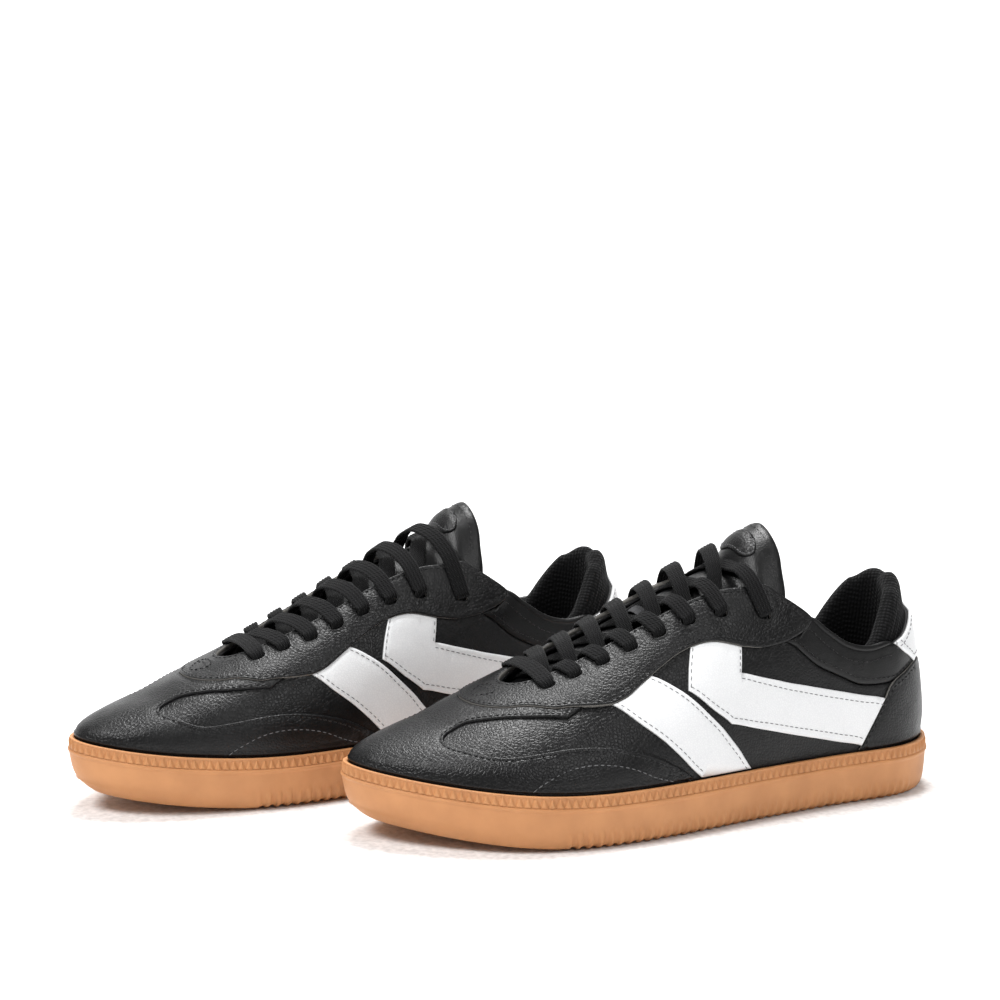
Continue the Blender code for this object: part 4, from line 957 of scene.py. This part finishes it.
def sew(slots_by_kind):
    """Makes every noted stitch as one small rounded bar of thread."""
    along = np.array([-1.0, -0.75, 0.0, 0.75, 1.0])
    fat = np.array([0.25, 0.85, 1.0, 0.85, 0.25])
    sink = np.array([-0.5, -0.08, 0.25, -0.08, -0.5])
    turn = np.arange(STITCH_SIDES) / STITCH_SIDES * 2 * math.pi
    for (kind, body), rows in STITCHES.items():
        points, faces = [], []
        total = 0
        for middle, ahead, up, side, long, wide in rows:
            for i in range(len(middle)):
                for k in range(STITCH_RINGS):
                    centre = middle[i] + ahead[i] * along[k] * long / 2 + up[i] * sink[k] * wide
                    for angle in turn:
                        way = side[i] * math.cos(angle) + up[i] * math.sin(angle)
                        points.append(centre + way * fat[k] * wide / 2)
                for k in range(STITCH_RINGS - 1):
                    for j in range(STITCH_SIDES):
                        m = (j + 1) % STITCH_SIDES
                        a = total + k * STITCH_SIDES
                        b = a + STITCH_SIDES
                        faces.append((a + j, b + j, b + m, a + m))
                faces.append(tuple(total + j for j in range(STITCH_SIDES)))
                last = total + (STITCH_RINGS - 1) * STITCH_SIDES
                faces.append(tuple(last + j for j in reversed(range(STITCH_SIDES))))
                total += STITCH_RINGS * STITCH_SIDES
        material, slot = slots_by_kind[kind]
        add("stitches_" + kind + ("_tongue" if body == "blend" else ""), np.array(points), faces,
            [material],
            (), body)


# Heights of the visible layers above the last, in millimetres
BASE_TOP = 0.35
EYESTAY_TOP = 2.45
STRIPE_TOP = 1.7
GUARD_TOP = 1.75
TAB_HEIGHT = 1.9

FLAP_OUTLINE = graded_out([(108.0, 22.0), (102.0, 25.0), (97.0, 27.0), (93.0, 27.5), (90.0, 25.0),
                           (88.8, 19.0), (88.6, 10.0),
                           (88.6, 0.0)])
FLAP_STITCH = graded_out([(106.0, 19.0), (100.0, 20.5), (95.5, 20.5), (93.2, 17.5), (92.4, 9.0), (92.2, 0.0)])
SECOND_ARC = graded([(228.0, 25.2), (221.0, 29.9), (212.0, 34.0), (203.0, 35.8), (193.5, 35.7), (182.0, 33.3),
                     (171.0, 28.5), (161.0, 25.2)])
LEAF = graded_out([(222.0, 0.0), (222.6, 3.5), (224.4, 7.0), (228.0, 5.6), (231.0, 2.6), (232.0, 0.0)])
LEAF_MIDDLE = graded_out([(224.5, 0.0), (225.2, 2.6), (226.0, 5.0)])

THROAT_A = Line(THROAT_FRONT, "out")
THROAT_B = Line(THROAT_REAR, "out")


def fine_holes(rows, grow=0.0):
    """Round-ended lace slots as sheet loops."""
    found = []
    turn = np.arange(20) / 20 * 2 * math.pi
    for side in (1, -1):
        for row in rows:
            place, along, away = ways(row, side)
            middle = place - away * SLOT_SHIFT
            loop = []
            for angle in turn:
                x = math.copysign(abs(math.cos(angle)) ** 0.8, math.cos(angle)) * (HOLE_LONG / 2 - 1.4 + grow)
                y = math.copysign(abs(math.sin(angle)) ** 0.8,
                                  math.sin(angle)) * (HOLE_SHORT / 2 - 0.9 + grow)
                loop.append(middle + along * x + away * y)
            found.append(np.array(loop))
    return found


def upper():
    top_edge = mixed([THROAT_REAR[-1]], TOP_EDGE)
    topline = Line(TOPLINE)
    collar_seam = Line(COLLAR_SEAM)
    seam = Line(SEAM)
    for side in (1, -1):
        points = [side_point(p[0], p[1], side) for p in SEAM] + [top_point(SEAM_HEAD, HEAD_OUT, side)]
        seam.parts[side] = sampled(points)
        seam.parts[side][-1] = THROAT_B.on(side)[0]
    tip = mixed(EYESTAY_TIP, EYESTAY_SIDE)
    head, hollow, arrow_head = Line(STRIPE_HEAD), Line(EYESTAY_HOLLOW), Line(ARROW_HEAD)
    rear, heel_end = Line(EYESTAY_REAR), Line(EYESTAY_HEEL)
    tab_edge = Line(TAB_EDGE)
    # Base leather, one piece from the toe to the seams
    loop = ring_of(toe_round(TUCK, SEAM_FOOT), seam.on(1), THROAT_A.on(1, True), THROAT_A.on(-1),
                   seam.on(-1, True))
    panel("vamp", drawn_in(loop, 0.05), -LEATHER, BASE_TOP, [BLACK, EDGE_BLACK], ["vamp"],
          fine_holes([0, 1, 2], 0.5), edge=0.3, seam=0.0, wave=0.35)
    for side, label in ((1, "lateral"), (-1, "medial")):
        loop = ring_of(THROAT_B.on(side), top_edge.on(side), heel_end.on(side, True), collar_seam.on(side),
                       heel_line(BACK_SEAM_TOP, TUCK), heel_round(TUCK, SEAM_FOOT, side)[::-1], seam.on(side))
        holes = [h for h in fine_holes(range(3, ROWS), 0.5) if h[0][1] * side > 0]
        panel("quarter_" + label, drawn_in(loop, 0.05), -LEATHER, BASE_TOP, [BLACK, EDGE_BLACK],
              ["quarter_" + label], holes, edge=0.3, seam=0.0, wave=0.3)
        loop = ring_of(collar_seam.on(side, True), heel_end.on(side), topline.on(side), tab_edge.on(side),
                       heel_line(BACK_SEAM_TOP, TAB_TOP)[::-1])
        panel("collar_panel_" + label, drawn_in(loop, 0.1), -LEATHER, BASE_TOP + 0.35, [SMOOTH, EDGE_BLACK],
              ["collar_panel_" + label], edge=0.8, seam=0.15, edge_width=1.4, wave=0.4)
        tube("topline_binding_" + label, topline.on(side), BASE_TOP - 1.0, 1.55, SMOOTH)
        stitched("dark", drawn_line(collar_seam.on(side), 1.4 * side), BASE_TOP + 0.45)
        stitched("dark", drawn_line(topline.on(side), -2.8 * side), BASE_TOP + 0.45)
    # Outer leather
    one = ring_of(tip.on(1), head.on(1), hollow.on(1), arrow_head.on(1), rear.on(1), heel_end.on(1),
                  top_edge.on(1, True), THROAT_B.on(1, True), THROAT_A.on(1, True))
    two = ring_of(THROAT_A.on(-1), THROAT_B.on(-1), top_edge.on(-1), heel_end.on(-1, True), rear.on(-1, True),
                  arrow_head.on(-1, True), hollow.on(-1, True), head.on(-1, True), tip.on(-1, True))
    loop = drawn_in(ring_of(one, two), 0.1)
    # The eyestay's cut edge takes the pale grey edge colour, which includes a painted highlight.
    panel("eyestay", loop, BASE_TOP - 0.1, EYESTAY_TOP, [BLACK, PALE_EDGE_AND_HIGHLIGHT], ["eyestay"],
          fine_holes(range(ROWS)), edge=0.35, wave=0.3, seam=0.25, seam_at=1.9)
    stitched("dark", drawn_in(ring_of(one, two), 1.9), EYESTAY_TOP - 0.12, closed=True, wide=0.5)
    tip_part = {side: trimmed(tip.on(side), LOBE_TAIL[0][0] - 9.0) for side in (1, -1)}
    mud = {}
    for side in (1, -1):
        first = [side_point(p[0], p[1], side) for p in MUDGUARD]
        then = [top_point(p[0], p[1], side) for p in (LOBE if side > 0 else LOBE_MEDIAL)]
        last = [side_point(p[0], p[1], side) for p in LOBE_TAIL]
        mud[side] = sampled(first + then + last)
    loop = ring_of(toe_round(WELT, MUDGUARD_FOOT), mud[1], tip_part[1][::-1], tip_part[-1], mud[-1][::-1])
    panel("toe_overlay", drawn_in(loop, 0.1), BASE_TOP - 0.1, GUARD_TOP, [BLACK, EDGE_BLACK],
          ["toe_overlay"], edge=0.6, wave=0.35, seam=0.35, seam_at=1.7, edge_width=1.1)
    for side in (1, -1):
        stitched("dark", drawn_line(mud[side], 1.7 * side), GUARD_TOP - 0.15, wide=0.55, pitch=2.7)
    for side in (1, -1):
        stitched("grey", sampled([side_point(p[0], p[1], side) for p in SECOND_ARC]), GUARD_TOP - 0.02,
                 wide=0.4)
        leaf = []
        for run, out in LEAF:
            leaf.append(top_point(run, out, side))
        stitched("dark", sampled(leaf), EYESTAY_TOP + 0.02, wide=0.45, pitch=2.4, long=1.7)
        stitched("dark", sampled([top_point(p[0], p[1], side) for p in LEAF_MIDDLE]), EYESTAY_TOP + 0.02,
                 wide=0.45,
                 pitch=2.4, long=1.7)
    for side, label in ((1, "lateral"), (-1, "medial")):
        loop = ring_of(head.on(side), Line(FRONT_STRIPE_REAR).on(side), Line(FRONT_STRIPE_FRONT).on(side))
        panel("front_stripe_" + label, drawn_in(loop, 0.1), BASE_TOP - 0.1, STRIPE_TOP, [WHITE, EDGE_WHITE],
              ["front_stripe_" + label], edge=0.4, seam=0.2, seam_at=1.6, wave=0.25)
        stitched("grey", drawn_line(Line(FRONT_STRIPE_REAR).on(side), -1.6 * side), STRIPE_TOP - 0.08,
                 wide=0.36)
        stitched("grey", drawn_line(Line(FRONT_STRIPE_FRONT).on(side), -1.6 * side), STRIPE_TOP - 0.08,
                 wide=0.36)
        loop = ring_of(arrow_head.on(side), Line(ARROW_NOTCH).on(side), Line(ARROW_TOP).on(side),
                       Line(ARROW_END).on(side), Line(ARROW_FOOT).on(side), Line(ARROW_FRONT).on(side),
                       Line(ARROW_TIP).on(side))
        panel("rear_stripe_" + label, drawn_in(loop, 0.1), BASE_TOP - 0.1, STRIPE_TOP, [WHITE, EDGE_WHITE],
              ["rear_stripe_" + label], edge=0.4, seam=0.2, seam_at=1.6, wave=0.25)
        for part in (ARROW_NOTCH, ARROW_TOP, ARROW_FOOT, ARROW_FRONT, ARROW_TIP):
            stitched("grey", drawn_line(Line(part).on(side), -1.6 * side), STRIPE_TOP - 0.08, wide=0.36)
    edge, top, front = Line(COUNTER_EDGE), Line(COUNTER_TOP), Line(TAB_FRONT)
    loop = ring_of(edge.on(1), top.on(1), [side_point(0.0, HEEL_MARK)], top.on(-1, True), edge.on(-1, True),
                   heel_round(WELT, COUNTER_EDGE[0][0], -1), heel_round(WELT, COUNTER_EDGE[0][0], 1)[::-1])
    panel("heel_counter", drawn_in(loop, 0.1), BASE_TOP - 0.1, GUARD_TOP, [BLACK, PALE_EDGE_AND_HIGHLIGHT],
          ["heel_counter"], edge=0.35, seam=0.25, seam_at=1.7, wave=0.3)
    for side in (1, -1):
        stitched("dark", drawn_line(edge.on(side), -1.7 * side), GUARD_TOP - 0.1, wide=0.5)
    loop = ring_of([side_point(0.0, HEEL_MARK)], top.on(1, True), front.on(1), tab_edge.on(1),
                   [side_point(0.0, TAB_TOP)], tab_edge.on(-1, True), front.on(-1, True), top.on(-1))
    panel("heel_tab", drawn_in(loop, 0.1), BASE_TOP + 0.2, TAB_HEIGHT, [WHITE, EDGE_WHITE],
          ["heel_tab"], edge=0.7, seam=0.25, seam_at=1.8, wave=0.25, edge_width=1.2)
    stitched("grey", drawn_in(loop, 1.9), TAB_HEIGHT - 0.1, closed=True, wide=0.38)


def tube(name, line, lift, radius, material, sides=10):
    """A round binding along sheet points."""
    middle = laid(line, lift)
    ahead = np.gradient(middle, axis=0)
    ahead /= np.linalg.norm(ahead, axis=1)[:, None]
    up = facing_out(line)
    side = np.cross(ahead, up)
    side /= np.linalg.norm(side, axis=1)[:, None]
    up = np.cross(side, ahead)
    ends = np.minimum(np.arange(len(line)), np.arange(len(line))[::-1])
    fat = radius * np.sqrt(np.clip((ends + 0.6) / 3.0, 0, 1))
    turn = np.arange(sides) / sides * 2 * math.pi
    way = (side[:, None] * np.cos(turn)[None, :, None] + up[:, None] * np.sin(turn)[None, :, None])
    points = middle[:, None] + way * fat[:, None, None]
    points = points.reshape(-1, 3)
    faces = []
    for i in range(len(line) - 1):
        for k in range(sides):
            m = (k + 1) % sides
            faces.append((i * sides + k, i * sides + m, i * sides + sides + m, i * sides + sides + k))
    faces.append(tuple(range(sides))[::-1])
    faces.append(tuple((len(line) - 1) * sides + k for k in range(sides)))
    if signed_volume(points, faces) < 0:
        faces = [tuple(reversed(f)) for f in faces]
    return add(name, points, faces, [material])


def drawn_line(line, gap):
    """An open line moved sideways on the sheet by a gap."""
    ahead = np.gradient(line, axis=0)
    ahead /= np.maximum(np.linalg.norm(ahead, axis=1), 1e-9)[:, None]
    return line + np.stack([-ahead[:, 1], ahead[:, 0]], axis=1) * gap


def trimmed(line, run):
    """The part of a line further forward than a run."""
    return line[surface(line)[:, 0] > run]


def collar():
    """The padded mesh lining, which rolls over the topline."""
    base = SOLE_BOTTOM + WEDGE_HEIGHT + BOARD_THICKNESS + INSOLE_THICKNESS + 1.9
    rise, rim = {}, {}
    for side in (1, -1):
        corner = side_point(RIM[0][0], RIM[0][1], side)
        rise[side] = sampled([side_point(LINING_SPLIT, base, side), corner])
        rim[side] = sampled([side_point(p[0], p[1], side) for p in RIM])
    loop = ring_of(rise[1], rim[1], rim[-1][::-1], rise[-1][::-1], heel_round(base, LINING_SPLIT, -1),
                   heel_round(base, LINING_SPLIT, 1)[::-1])

    def outer(flat):
        return np.full(len(flat), -LEATHER - 0.15)

    def inner(flat):
        up = surface(flat)[:, 2]
        return -5.6 - 4.6 * np.clip((up - 45.0) / 16.0, 0, 1)

    panels = panel("collar_lining", drawn_in(loop, 0.3), inner, outer, [MESH],
                   ["collar_lining"],
                   edge=3.6, inner_edge=3.6, edge_width=4.5, seam=0.0, rows=(0.25, 0.7, 1.4, 2.3,
                                                                             3.4), wave=0.3)


def tongue_outer(flat):
    run = surface(flat)[:, 0]
    t = np.clip((FLAP_START + 4.0 - run) / 13.0, 0, 1)
    return TONGUE_OUTER + FLAP_RISE * t * t * (3 - 2 * t)


def tongue_inner(flat):
    run = surface(flat)[:, 0]
    t = np.clip((FLAP_START - run) / 9.0, 0, 1)
    return tongue_outer(flat) - TONGUE_THICK - (FLAP_THICK - TONGUE_THICK) * t


def tongue():
    right = sampled([top_point(p[0], p[1], 1) for p in TONGUE_EDGE[:-1] + FLAP_OUTLINE])
    left = sampled([top_point(p[0], p[1], -1) for p in TONGUE_EDGE[:-1] + FLAP_OUTLINE])
    first = TONGUE_EDGE[0]
    front = sampled([top_point(first[0], first[1], -1), top_point(first[0] + 2.0, 0.0),
                     top_point(first[0], first[1], 1)])
    loop = ring_of(front, right, left[::-1])
    pieces = panel("tongue", loop, tongue_inner, tongue_outer, [SMOOTH],
                   ["tongue", "tongue_flap"], edge=1.9, inner_edge=1.9, edge_width=3.4, seam=0.0, wave=0.5,
                   body="blend", rows=(0.25, 0.7, 1.4, 2.3))
    for side in (1, -1):
        row = sampled([top_point(p[0], p[1], side) for p in FLAP_STITCH])
        stitched("dark", row, lambda flat: tongue_outer(flat) - 0.05, body="blend")
    right = [top_point(p[0], p[1], 1) for p in PATCH_EDGE]
    left = [top_point(p[0], p[1], -1) for p in PATCH_EDGE]
    loop = ring_of(sampled([left[0], right[0]]), sampled(right), sampled(left)[::-1])
    panel("tongue_patch", loop, lambda flat: tongue_outer(flat) - 0.3, lambda flat: tongue_outer(flat) + 1.0,
          [BLACK, EDGE_BLACK], ["tongue_patch"], edge=0.4, seam=0.2, wave=0.1, body="tongue")
    stitched("grey", drawn_in(loop, 1.4), lambda flat: tongue_outer(flat) + 0.95, closed=True, wide=0.36,
             pitch=2.2,
             long=1.5, body="tongue")


RIBS = 5
LACE_ACROSS = 21


def ribbon(middle, wide, thick, width, height):
    """A ribbed ribbon: points, faces and weave places from its middle line and its two cross ways."""
    count = len(middle)
    t = np.linspace(-1, 1, LACE_ACROSS)
    rounded_edge = np.sqrt(np.maximum(1 - np.abs(t) ** 5, 0)) * 0.85 + 0.15
    rib = 0.8 + 0.2 * np.cos(t * RIBS * math.pi)
    up = 0.5 * rounded_edge * rib
    profile = np.vstack([np.stack([t * 0.5, up], axis=1), np.stack([t[::-1] * 0.5, -up[::-1]], axis=1)])
    weave = np.concatenate([t, t[::-1]])
    size = len(profile)
    width = np.broadcast_to(width, count)[:, None, None]
    height = np.broadcast_to(height, count)[:, None, None]
    points = middle[:, None] + wide[:, None] * profile[None, :, :1] * width
    points = (points + thick[:, None] * profile[None, :, 1:] * height).reshape(-1, 3)
    length = np.concatenate([[0], np.cumsum(np.linalg.norm(np.diff(middle, axis=0), axis=1))]) * MM
    places = np.stack([np.repeat(length, size), np.tile(weave, count)], axis=1)
    faces = []
    for i in range(count - 1):
        for k in range(size):
            m = (k + 1) % size
            faces.append((i * size + k, i * size + m, i * size + size + m, i * size + size + k))
    faces.append(tuple(range(size))[::-1])
    faces.append(tuple((count - 1) * size + k for k in range(size)))
    if signed_volume(points, faces) < 0:
        faces = [tuple(reversed(f)) for f in faces]
    return points, faces, places


def signed_volume(points, faces):
    total = 0.0
    for face in faces:
        a = points[face[0]]
        for i in range(1, len(face) - 1):
            total += float(np.dot(a, np.cross(points[face[i]], points[face[i + 1]])))
    return total


def refined(values, count):
    """Catmull-Rom points between the given ones."""
    padded = np.vstack([2 * values[0] - values[1], values, 2 * values[-1] - values[-2]])
    found = []
    for i in range(1, len(padded) - 2):
        p0, p1, p2, p3 = padded[i - 1:i + 3]
        for t in np.arange(count) / count:
            a = 2 * p1 + (p2 - p0) * t
            b = (2 * p0 - 5 * p1 + 4 * p2 - p3) * t ** 2 + (3 * p1 - p0 - 3 * p2 + p3) * t ** 3
            found.append(0.5 * (a + b))
    found.append(values[-1])
    return np.array(found)


def lace():
    places, _ = strand_places()
    sheet = np.array([p[0] for p in places])
    middle = laid(sheet, np.array([p[1] for p in places]))
    out_way = facing_out(sheet)
    ahead = np.gradient(middle, axis=0)
    ahead /= np.linalg.norm(ahead, axis=1)[:, None]
    wide = lace_width_way(sheet, ahead)
    middle = refined(middle, 4)
    wide = refined(wide, 4)
    ahead = np.gradient(middle, axis=0)
    ahead /= np.linalg.norm(ahead, axis=1)[:, None]
    wide -= ahead * np.sum(wide * ahead, axis=1)[:, None]
    wide /= np.linalg.norm(wide, axis=1)[:, None]
    thick = np.cross(ahead, wide)
    steep = np.clip(np.abs(np.sum(ahead * refined(out_way, 4), axis=1)) * 1.25, 0, 1)
    for _ in range(5):
        steep = np.maximum(steep, 0.25 * np.roll(steep, 1) + 0.5 * steep + 0.25 * np.roll(steep, -1))
    steep = np.convolve(steep, np.ones(5) / 5, mode="same")
    width = (LACE_WIDTH + 1.5) * (1 - 0.24 * steep ** 1.5)
    height = (LACE_THICK + 0.7) * (1 + 0.35 * steep ** 1.5)
    points, faces, weave = ribbon(middle, wide, thick, width, height)
    add("lace", points, faces, [LACE], ["lace"], ribbon=weave)
    run = ROW_RUN[4]
    spots = np.array([top_point(run, out) for out in np.linspace(out_at(8.5), out_at(-8.5), 25)])
    hump = 0.75 + 1.3 * np.sin(np.linspace(0, math.pi, 25)) ** 0.6
    middle = laid(spots, TONGUE_OUTER + hump)
    ahead = np.gradient(middle, axis=0)
    ahead /= np.linalg.norm(ahead, axis=1)[:, None]
    wide = np.cross(facing_out(spots), ahead)
    wide /= np.linalg.norm(wide, axis=1)[:, None]
    points, faces, weave = ribbon(middle, wide, np.cross(ahead, wide), 5.0, 0.9)
    add("lace_loop", points, faces, [LOOP], ["lace_loop"], ribbon=weave)


SOLE_STEPS = 1500
RIDGE = SOLE_HEIGHT - 5.8


def outsole():
    """The cup sole: toothed rim, ridge, smooth band and ribbed lower edge over a treaded underside."""
    angle = np.linspace(0, math.pi, SOLE_STEPS // 2 + 1)
    run = 0.5 * SOLE_LENGTH * (1 - np.cos(angle))
    half = np.maximum(half_sole(run), 0) * rounded(run, 0.0, SOLE_LENGTH)
    line = np.stack([run, midline(run) + half], axis=1)
    other = np.stack([run, midline(run) - half], axis=1)[1:-1][::-1]
    outline = np.vstack([line, other])
    length = np.concatenate([[0], np.cumsum(np.linalg.norm(np.diff(outline, axis=0), axis=1))])
    total = length[-1] + np.linalg.norm(outline[0] - outline[-1])
    at = np.arange(SOLE_STEPS) / SOLE_STEPS * total
    closed = np.vstack([outline, outline[:1]])
    length = np.append(length, total)
    outline = np.stack([np.interp(at, length, closed[:, k]) for k in (0, 1)], axis=1)
    for _ in range(3):
        outline = 0.25 * np.roll(outline, 1, axis=0) + 0.5 * outline + 0.25 * np.roll(outline, -1, axis=0)
    ahead = np.roll(outline, -1, axis=0) - np.roll(outline, 1, axis=0)
    ahead /= np.linalg.norm(ahead, axis=1)[:, None]
    normal = np.stack([ahead[:, 1], -ahead[:, 0]], axis=1)
    centre = outline.mean(axis=0)
    if np.sum(normal * (outline - centre)) < 0:
        normal = -normal
    toe = np.clip((outline[:, 0] - 0.73 * SOLE_LENGTH) / (0.27 * SOLE_LENGTH), 0, 1) ** 1.5
    teeth = round(total / 3.6)
    phase = at / total * teeth % 1.0
    tooth = 1 - np.abs(2 * phase - 1)
    ribs = round(total / 5.0)
    rib_phase = at / total * ribs % 1.0
    rib_wave = np.clip((np.cos(2 * math.pi * rib_phase) + 0.25) / 0.9, 0, 1)
    ribbed = np.clip((outline[:, 0] - 0.07 * SOLE_LENGTH) / 8.0, 0,
                     1) * np.clip((0.74 * SOLE_LENGTH - outline[:, 0]) / 5.0, 0, 1)
    levels = [(0.0, 30.0, 1.0), (0.0, 4.6, 1.0), (0.25, 3.6, 0.95), (0.9, 2.7, 0.88), (1.8, 2.1, 0.75),
              (3.0, 1.65, 0.6),
              (4.2, 1.3, 0.45), (5.2, 1.1, 0.36), (6.2, 0.95, 0.28), (7.4, 0.8, 0.2), (8.5, 0.7,
                                                                                       0.15), (11.0, 0.5,
                                                                                               0.08),
              (14.0, 0.3, 0.03), (SOLE_HEIGHT - 7.6, 0.15, 0.0), (SOLE_HEIGHT - 7.0, 0.1, 0.0),
              (RIDGE - 0.8, -0.25, 0.0), (RIDGE - 0.4, -0.5, 0.0), (RIDGE, -0.55, 0.0), (RIDGE + 0.4, -0.5,
                                                                                         0.0),
              (RIDGE + 0.7, -0.1, 0.0), (RIDGE + 0.9, 0.55, 0.0)]
    for k in range(9):
        levels.append((RIDGE + 1.0 + k * 0.5, 0.95, 0.0))
    levels += [(SOLE_HEIGHT - 0.15, 0.4, 0.0), (SOLE_HEIGHT + 0.1, 0.7, 0.0), (SOLE_HEIGHT + 0.15, 1.4, 0.0),
               (SOLE_HEIGHT, SOLE_WALL - 0.2, 0.0), (SOLE_HEIGHT - 4.0, SOLE_WALL, 0.0),
               (SOLE_BOTTOM + 1.5, SOLE_WALL, 0.0), (SOLE_BOTTOM, SOLE_WALL + 6.0, 0.0)]
    rings = []
    for index, (up, inset, low) in enumerate(levels):
        drawn = inset + low * TOE_UNDERCUT * toe
        if 1.0 < up < 8.0 and index < 10:
            drawn = drawn - 1.1 * rib_wave * ribbed * math.sin(math.pi * min(max((up - 0.4) / 7.2, 0),
                                                                             1)) ** 0.5
        if index in (1, 2, 3):
            drawn = drawn + 1.3 * (1 - rib_wave) * ribbed
        if RIDGE + 0.95 <= up <= SOLE_HEIGHT - 0.7 and index < 30:
            share = (up - RIDGE - 1.0) / 4.0
            drawn = drawn - 1.0 * np.clip((tooth - share * 0.85) / 0.22, 0, 1)
        flat = outline - normal * np.reshape(drawn, (-1, 1))
        height = up + spring(flat[:, 0])
        if index in (1, 2, 3):
            height = height + 0.5 * (1 - rib_wave) * ribbed
        rings.append(np.stack([flat[:, 0], flat[:, 1], height], axis=1))
    rings[0] = inner_ring(rings[1], centre)
    rings.append(inner_ring(rings[-1], centre))
    count = SOLE_STEPS
    faces = []
    for k in range(len(rings) - 1):
        for i in range(count):
            j = (i + 1) % count
            a, b = k * count + i, k * count + j
            faces.append((a, b, b + count, a + count))
    points = np.vstack(rings)
    for k, flip in ((0, False), (len(rings) - 1, True)):
        base = k * count
        middle = len(points)
        points = np.vstack([points, rings[k].mean(axis=0)])
        for i in range(count):
            a, b = base + i, base + (i + 1) % count
            faces.append((middle, b, a) if not flip else (middle, a, b))
    volume = signed_volume(points, faces)
    if volume < 0:
        faces = [tuple(reversed(f)) for f in faces]
    add("outsole", points, faces, [GUM], ["outsole"])


def inner_ring(ring, centre):
    """The ring drawn in halfway to the sole's long middle line."""
    made = ring.copy()
    made[:, 1] = midline(ring[:, 0]) + (ring[:, 1] - midline(ring[:, 0])) * 0.5
    made[:, 0] = centre[0] + (ring[:, 0] - centre[0]) * 0.85
    made[:, 2] = ring[:, 2].min() + spring(made[:, 0])
    return made


def carried():
    """The hidden pieces keep their solids and get their own materials."""
    looks = {"midsole_wedge": FOAM, "lasting_board": BOARD, "insole": CLOTH, "toe_puff": PLASTIC,
             "heel_stiffener": PLASTIC, "vamp_lining": CLOTH,
             "aglet_lateral": PLASTIC, "aglet_medial": PLASTIC}
    for right, side in SHOES:
        for name, look in looks.items():
            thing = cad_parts[side + name]
            for slot in thing.material_slots:
                slot.material = look
            if not thing.material_slots:
                thing.data.materials.append(look)


def studio():
    """Pale floor that rises into a backdrop, soft lights and the camera."""
    rows = [(-FLOOR_HALF, 0.0), (FLOOR_BACK, 0.0)]
    for bend in np.linspace(0, math.pi / 2, 16)[1:]:
        rows.append((FLOOR_BACK + FLOOR_BEND * math.sin(bend), FLOOR_BEND - FLOOR_BEND * math.cos(bend)))
    rows.append((FLOOR_BACK + FLOOR_BEND, BACKDROP_TOP))
    turn = math.radians(CAMERA_AZIMUTH)
    back = np.array([-math.sin(turn), math.cos(turn)])
    side = np.array([back[1], -back[0]])
    points, faces = [], []
    for along, up in rows:
        for across in (-FLOOR_HALF, FLOOR_HALF):
            flat = back * along + side * across
            points.append((flat[0], flat[1], up - FLOOR_DROP))
    for k in range(len(rows) - 1):
        faces.append((2 * k, 2 * k + 1, 2 * k + 3, 2 * k + 2))
    mesh = bpy.data.meshes.new("studio_floor")
    mesh.from_pydata(points, [], faces)
    mesh.polygons.foreach_set("use_smooth", np.full(len(faces), True))
    floor = bpy.data.objects.new("studio_floor", mesh)
    bpy.context.scene.collection.objects.link(floor)
    paper = plain("studio_paper", (0.93, 0.93, 0.93), 0.9, 300.0)
    mesh.materials.append(paper)
    world = bpy.data.worlds.new("studio_world")
    bpy.context.scene.world = world
    world.use_nodes = True
    world.node_tree.nodes["Background"].inputs["Color"].default_value = (1.0, 1.0, 1.0, 1.0)
    world.node_tree.nodes["Background"].inputs["Strength"].default_value = WORLD_STRENGTH
    for name, place, power, wide, tall in LIGHTS:
        data = bpy.data.lights.new(name, "AREA")
        data.shape = "RECTANGLE"
        data.size, data.size_y = wide, tall
        data.energy = power
        lamp = bpy.data.objects.new(name, data)
        lamp.location = place
        lamp.rotation_euler = (Vector((0.0, 0.0, 0.05)) - Vector(place)).to_track_quat("-Z", "Y").to_euler()
        bpy.context.scene.collection.objects.link(lamp)
    data = bpy.data.cameras.new("camera")
    data.lens = LENS
    data.sensor_width = SENSOR
    data.clip_start = 0.05
    camera = bpy.data.objects.new("camera", data)
    camera.location = Vector(CAMERA_AT) * MM
    target = Vector(CAMERA_TARGET) * MM
    bpy.context.scene.view_settings.view_transform = "Standard"
    camera.rotation_euler = (target - camera.location).to_track_quat("-Z", "Y").to_euler()
    bpy.context.scene.collection.objects.link(camera)
    bpy.context.scene.camera = camera


WORLD_STRENGTH = 0.30
LENS = 91.66
SENSOR = 36.0
CAMERA_AT = (1062.4, -500.5, 309.9)
CAMERA_TARGET = (15.33, -6.97, 140.67)
CAMERA_AZIMUTH = 64.76
FLOOR_HALF = 3.0
FLOOR_BACK = 1.2
FLOOR_BEND = 0.8
FLOOR_DROP = 0.0002
BACKDROP_TOP = 3.2
LIGHTS = [("key", (0.2, -1.5, 2.0), 44.0, 0.8, 0.8), ("side", (1.9, 0.4, 1.5), 14.0, 0.8, 0.6),
          ("top", (-0.6, 0.3, 2.2), 70.0, 1.0, 1.0)]

upper()
collar()
tongue()
lace()
outsole()
sew({"dark": (DARK_THREAD, "black_lace"), "grey": (GREY_THREAD, "grey_webbing")})
carried()
studio()
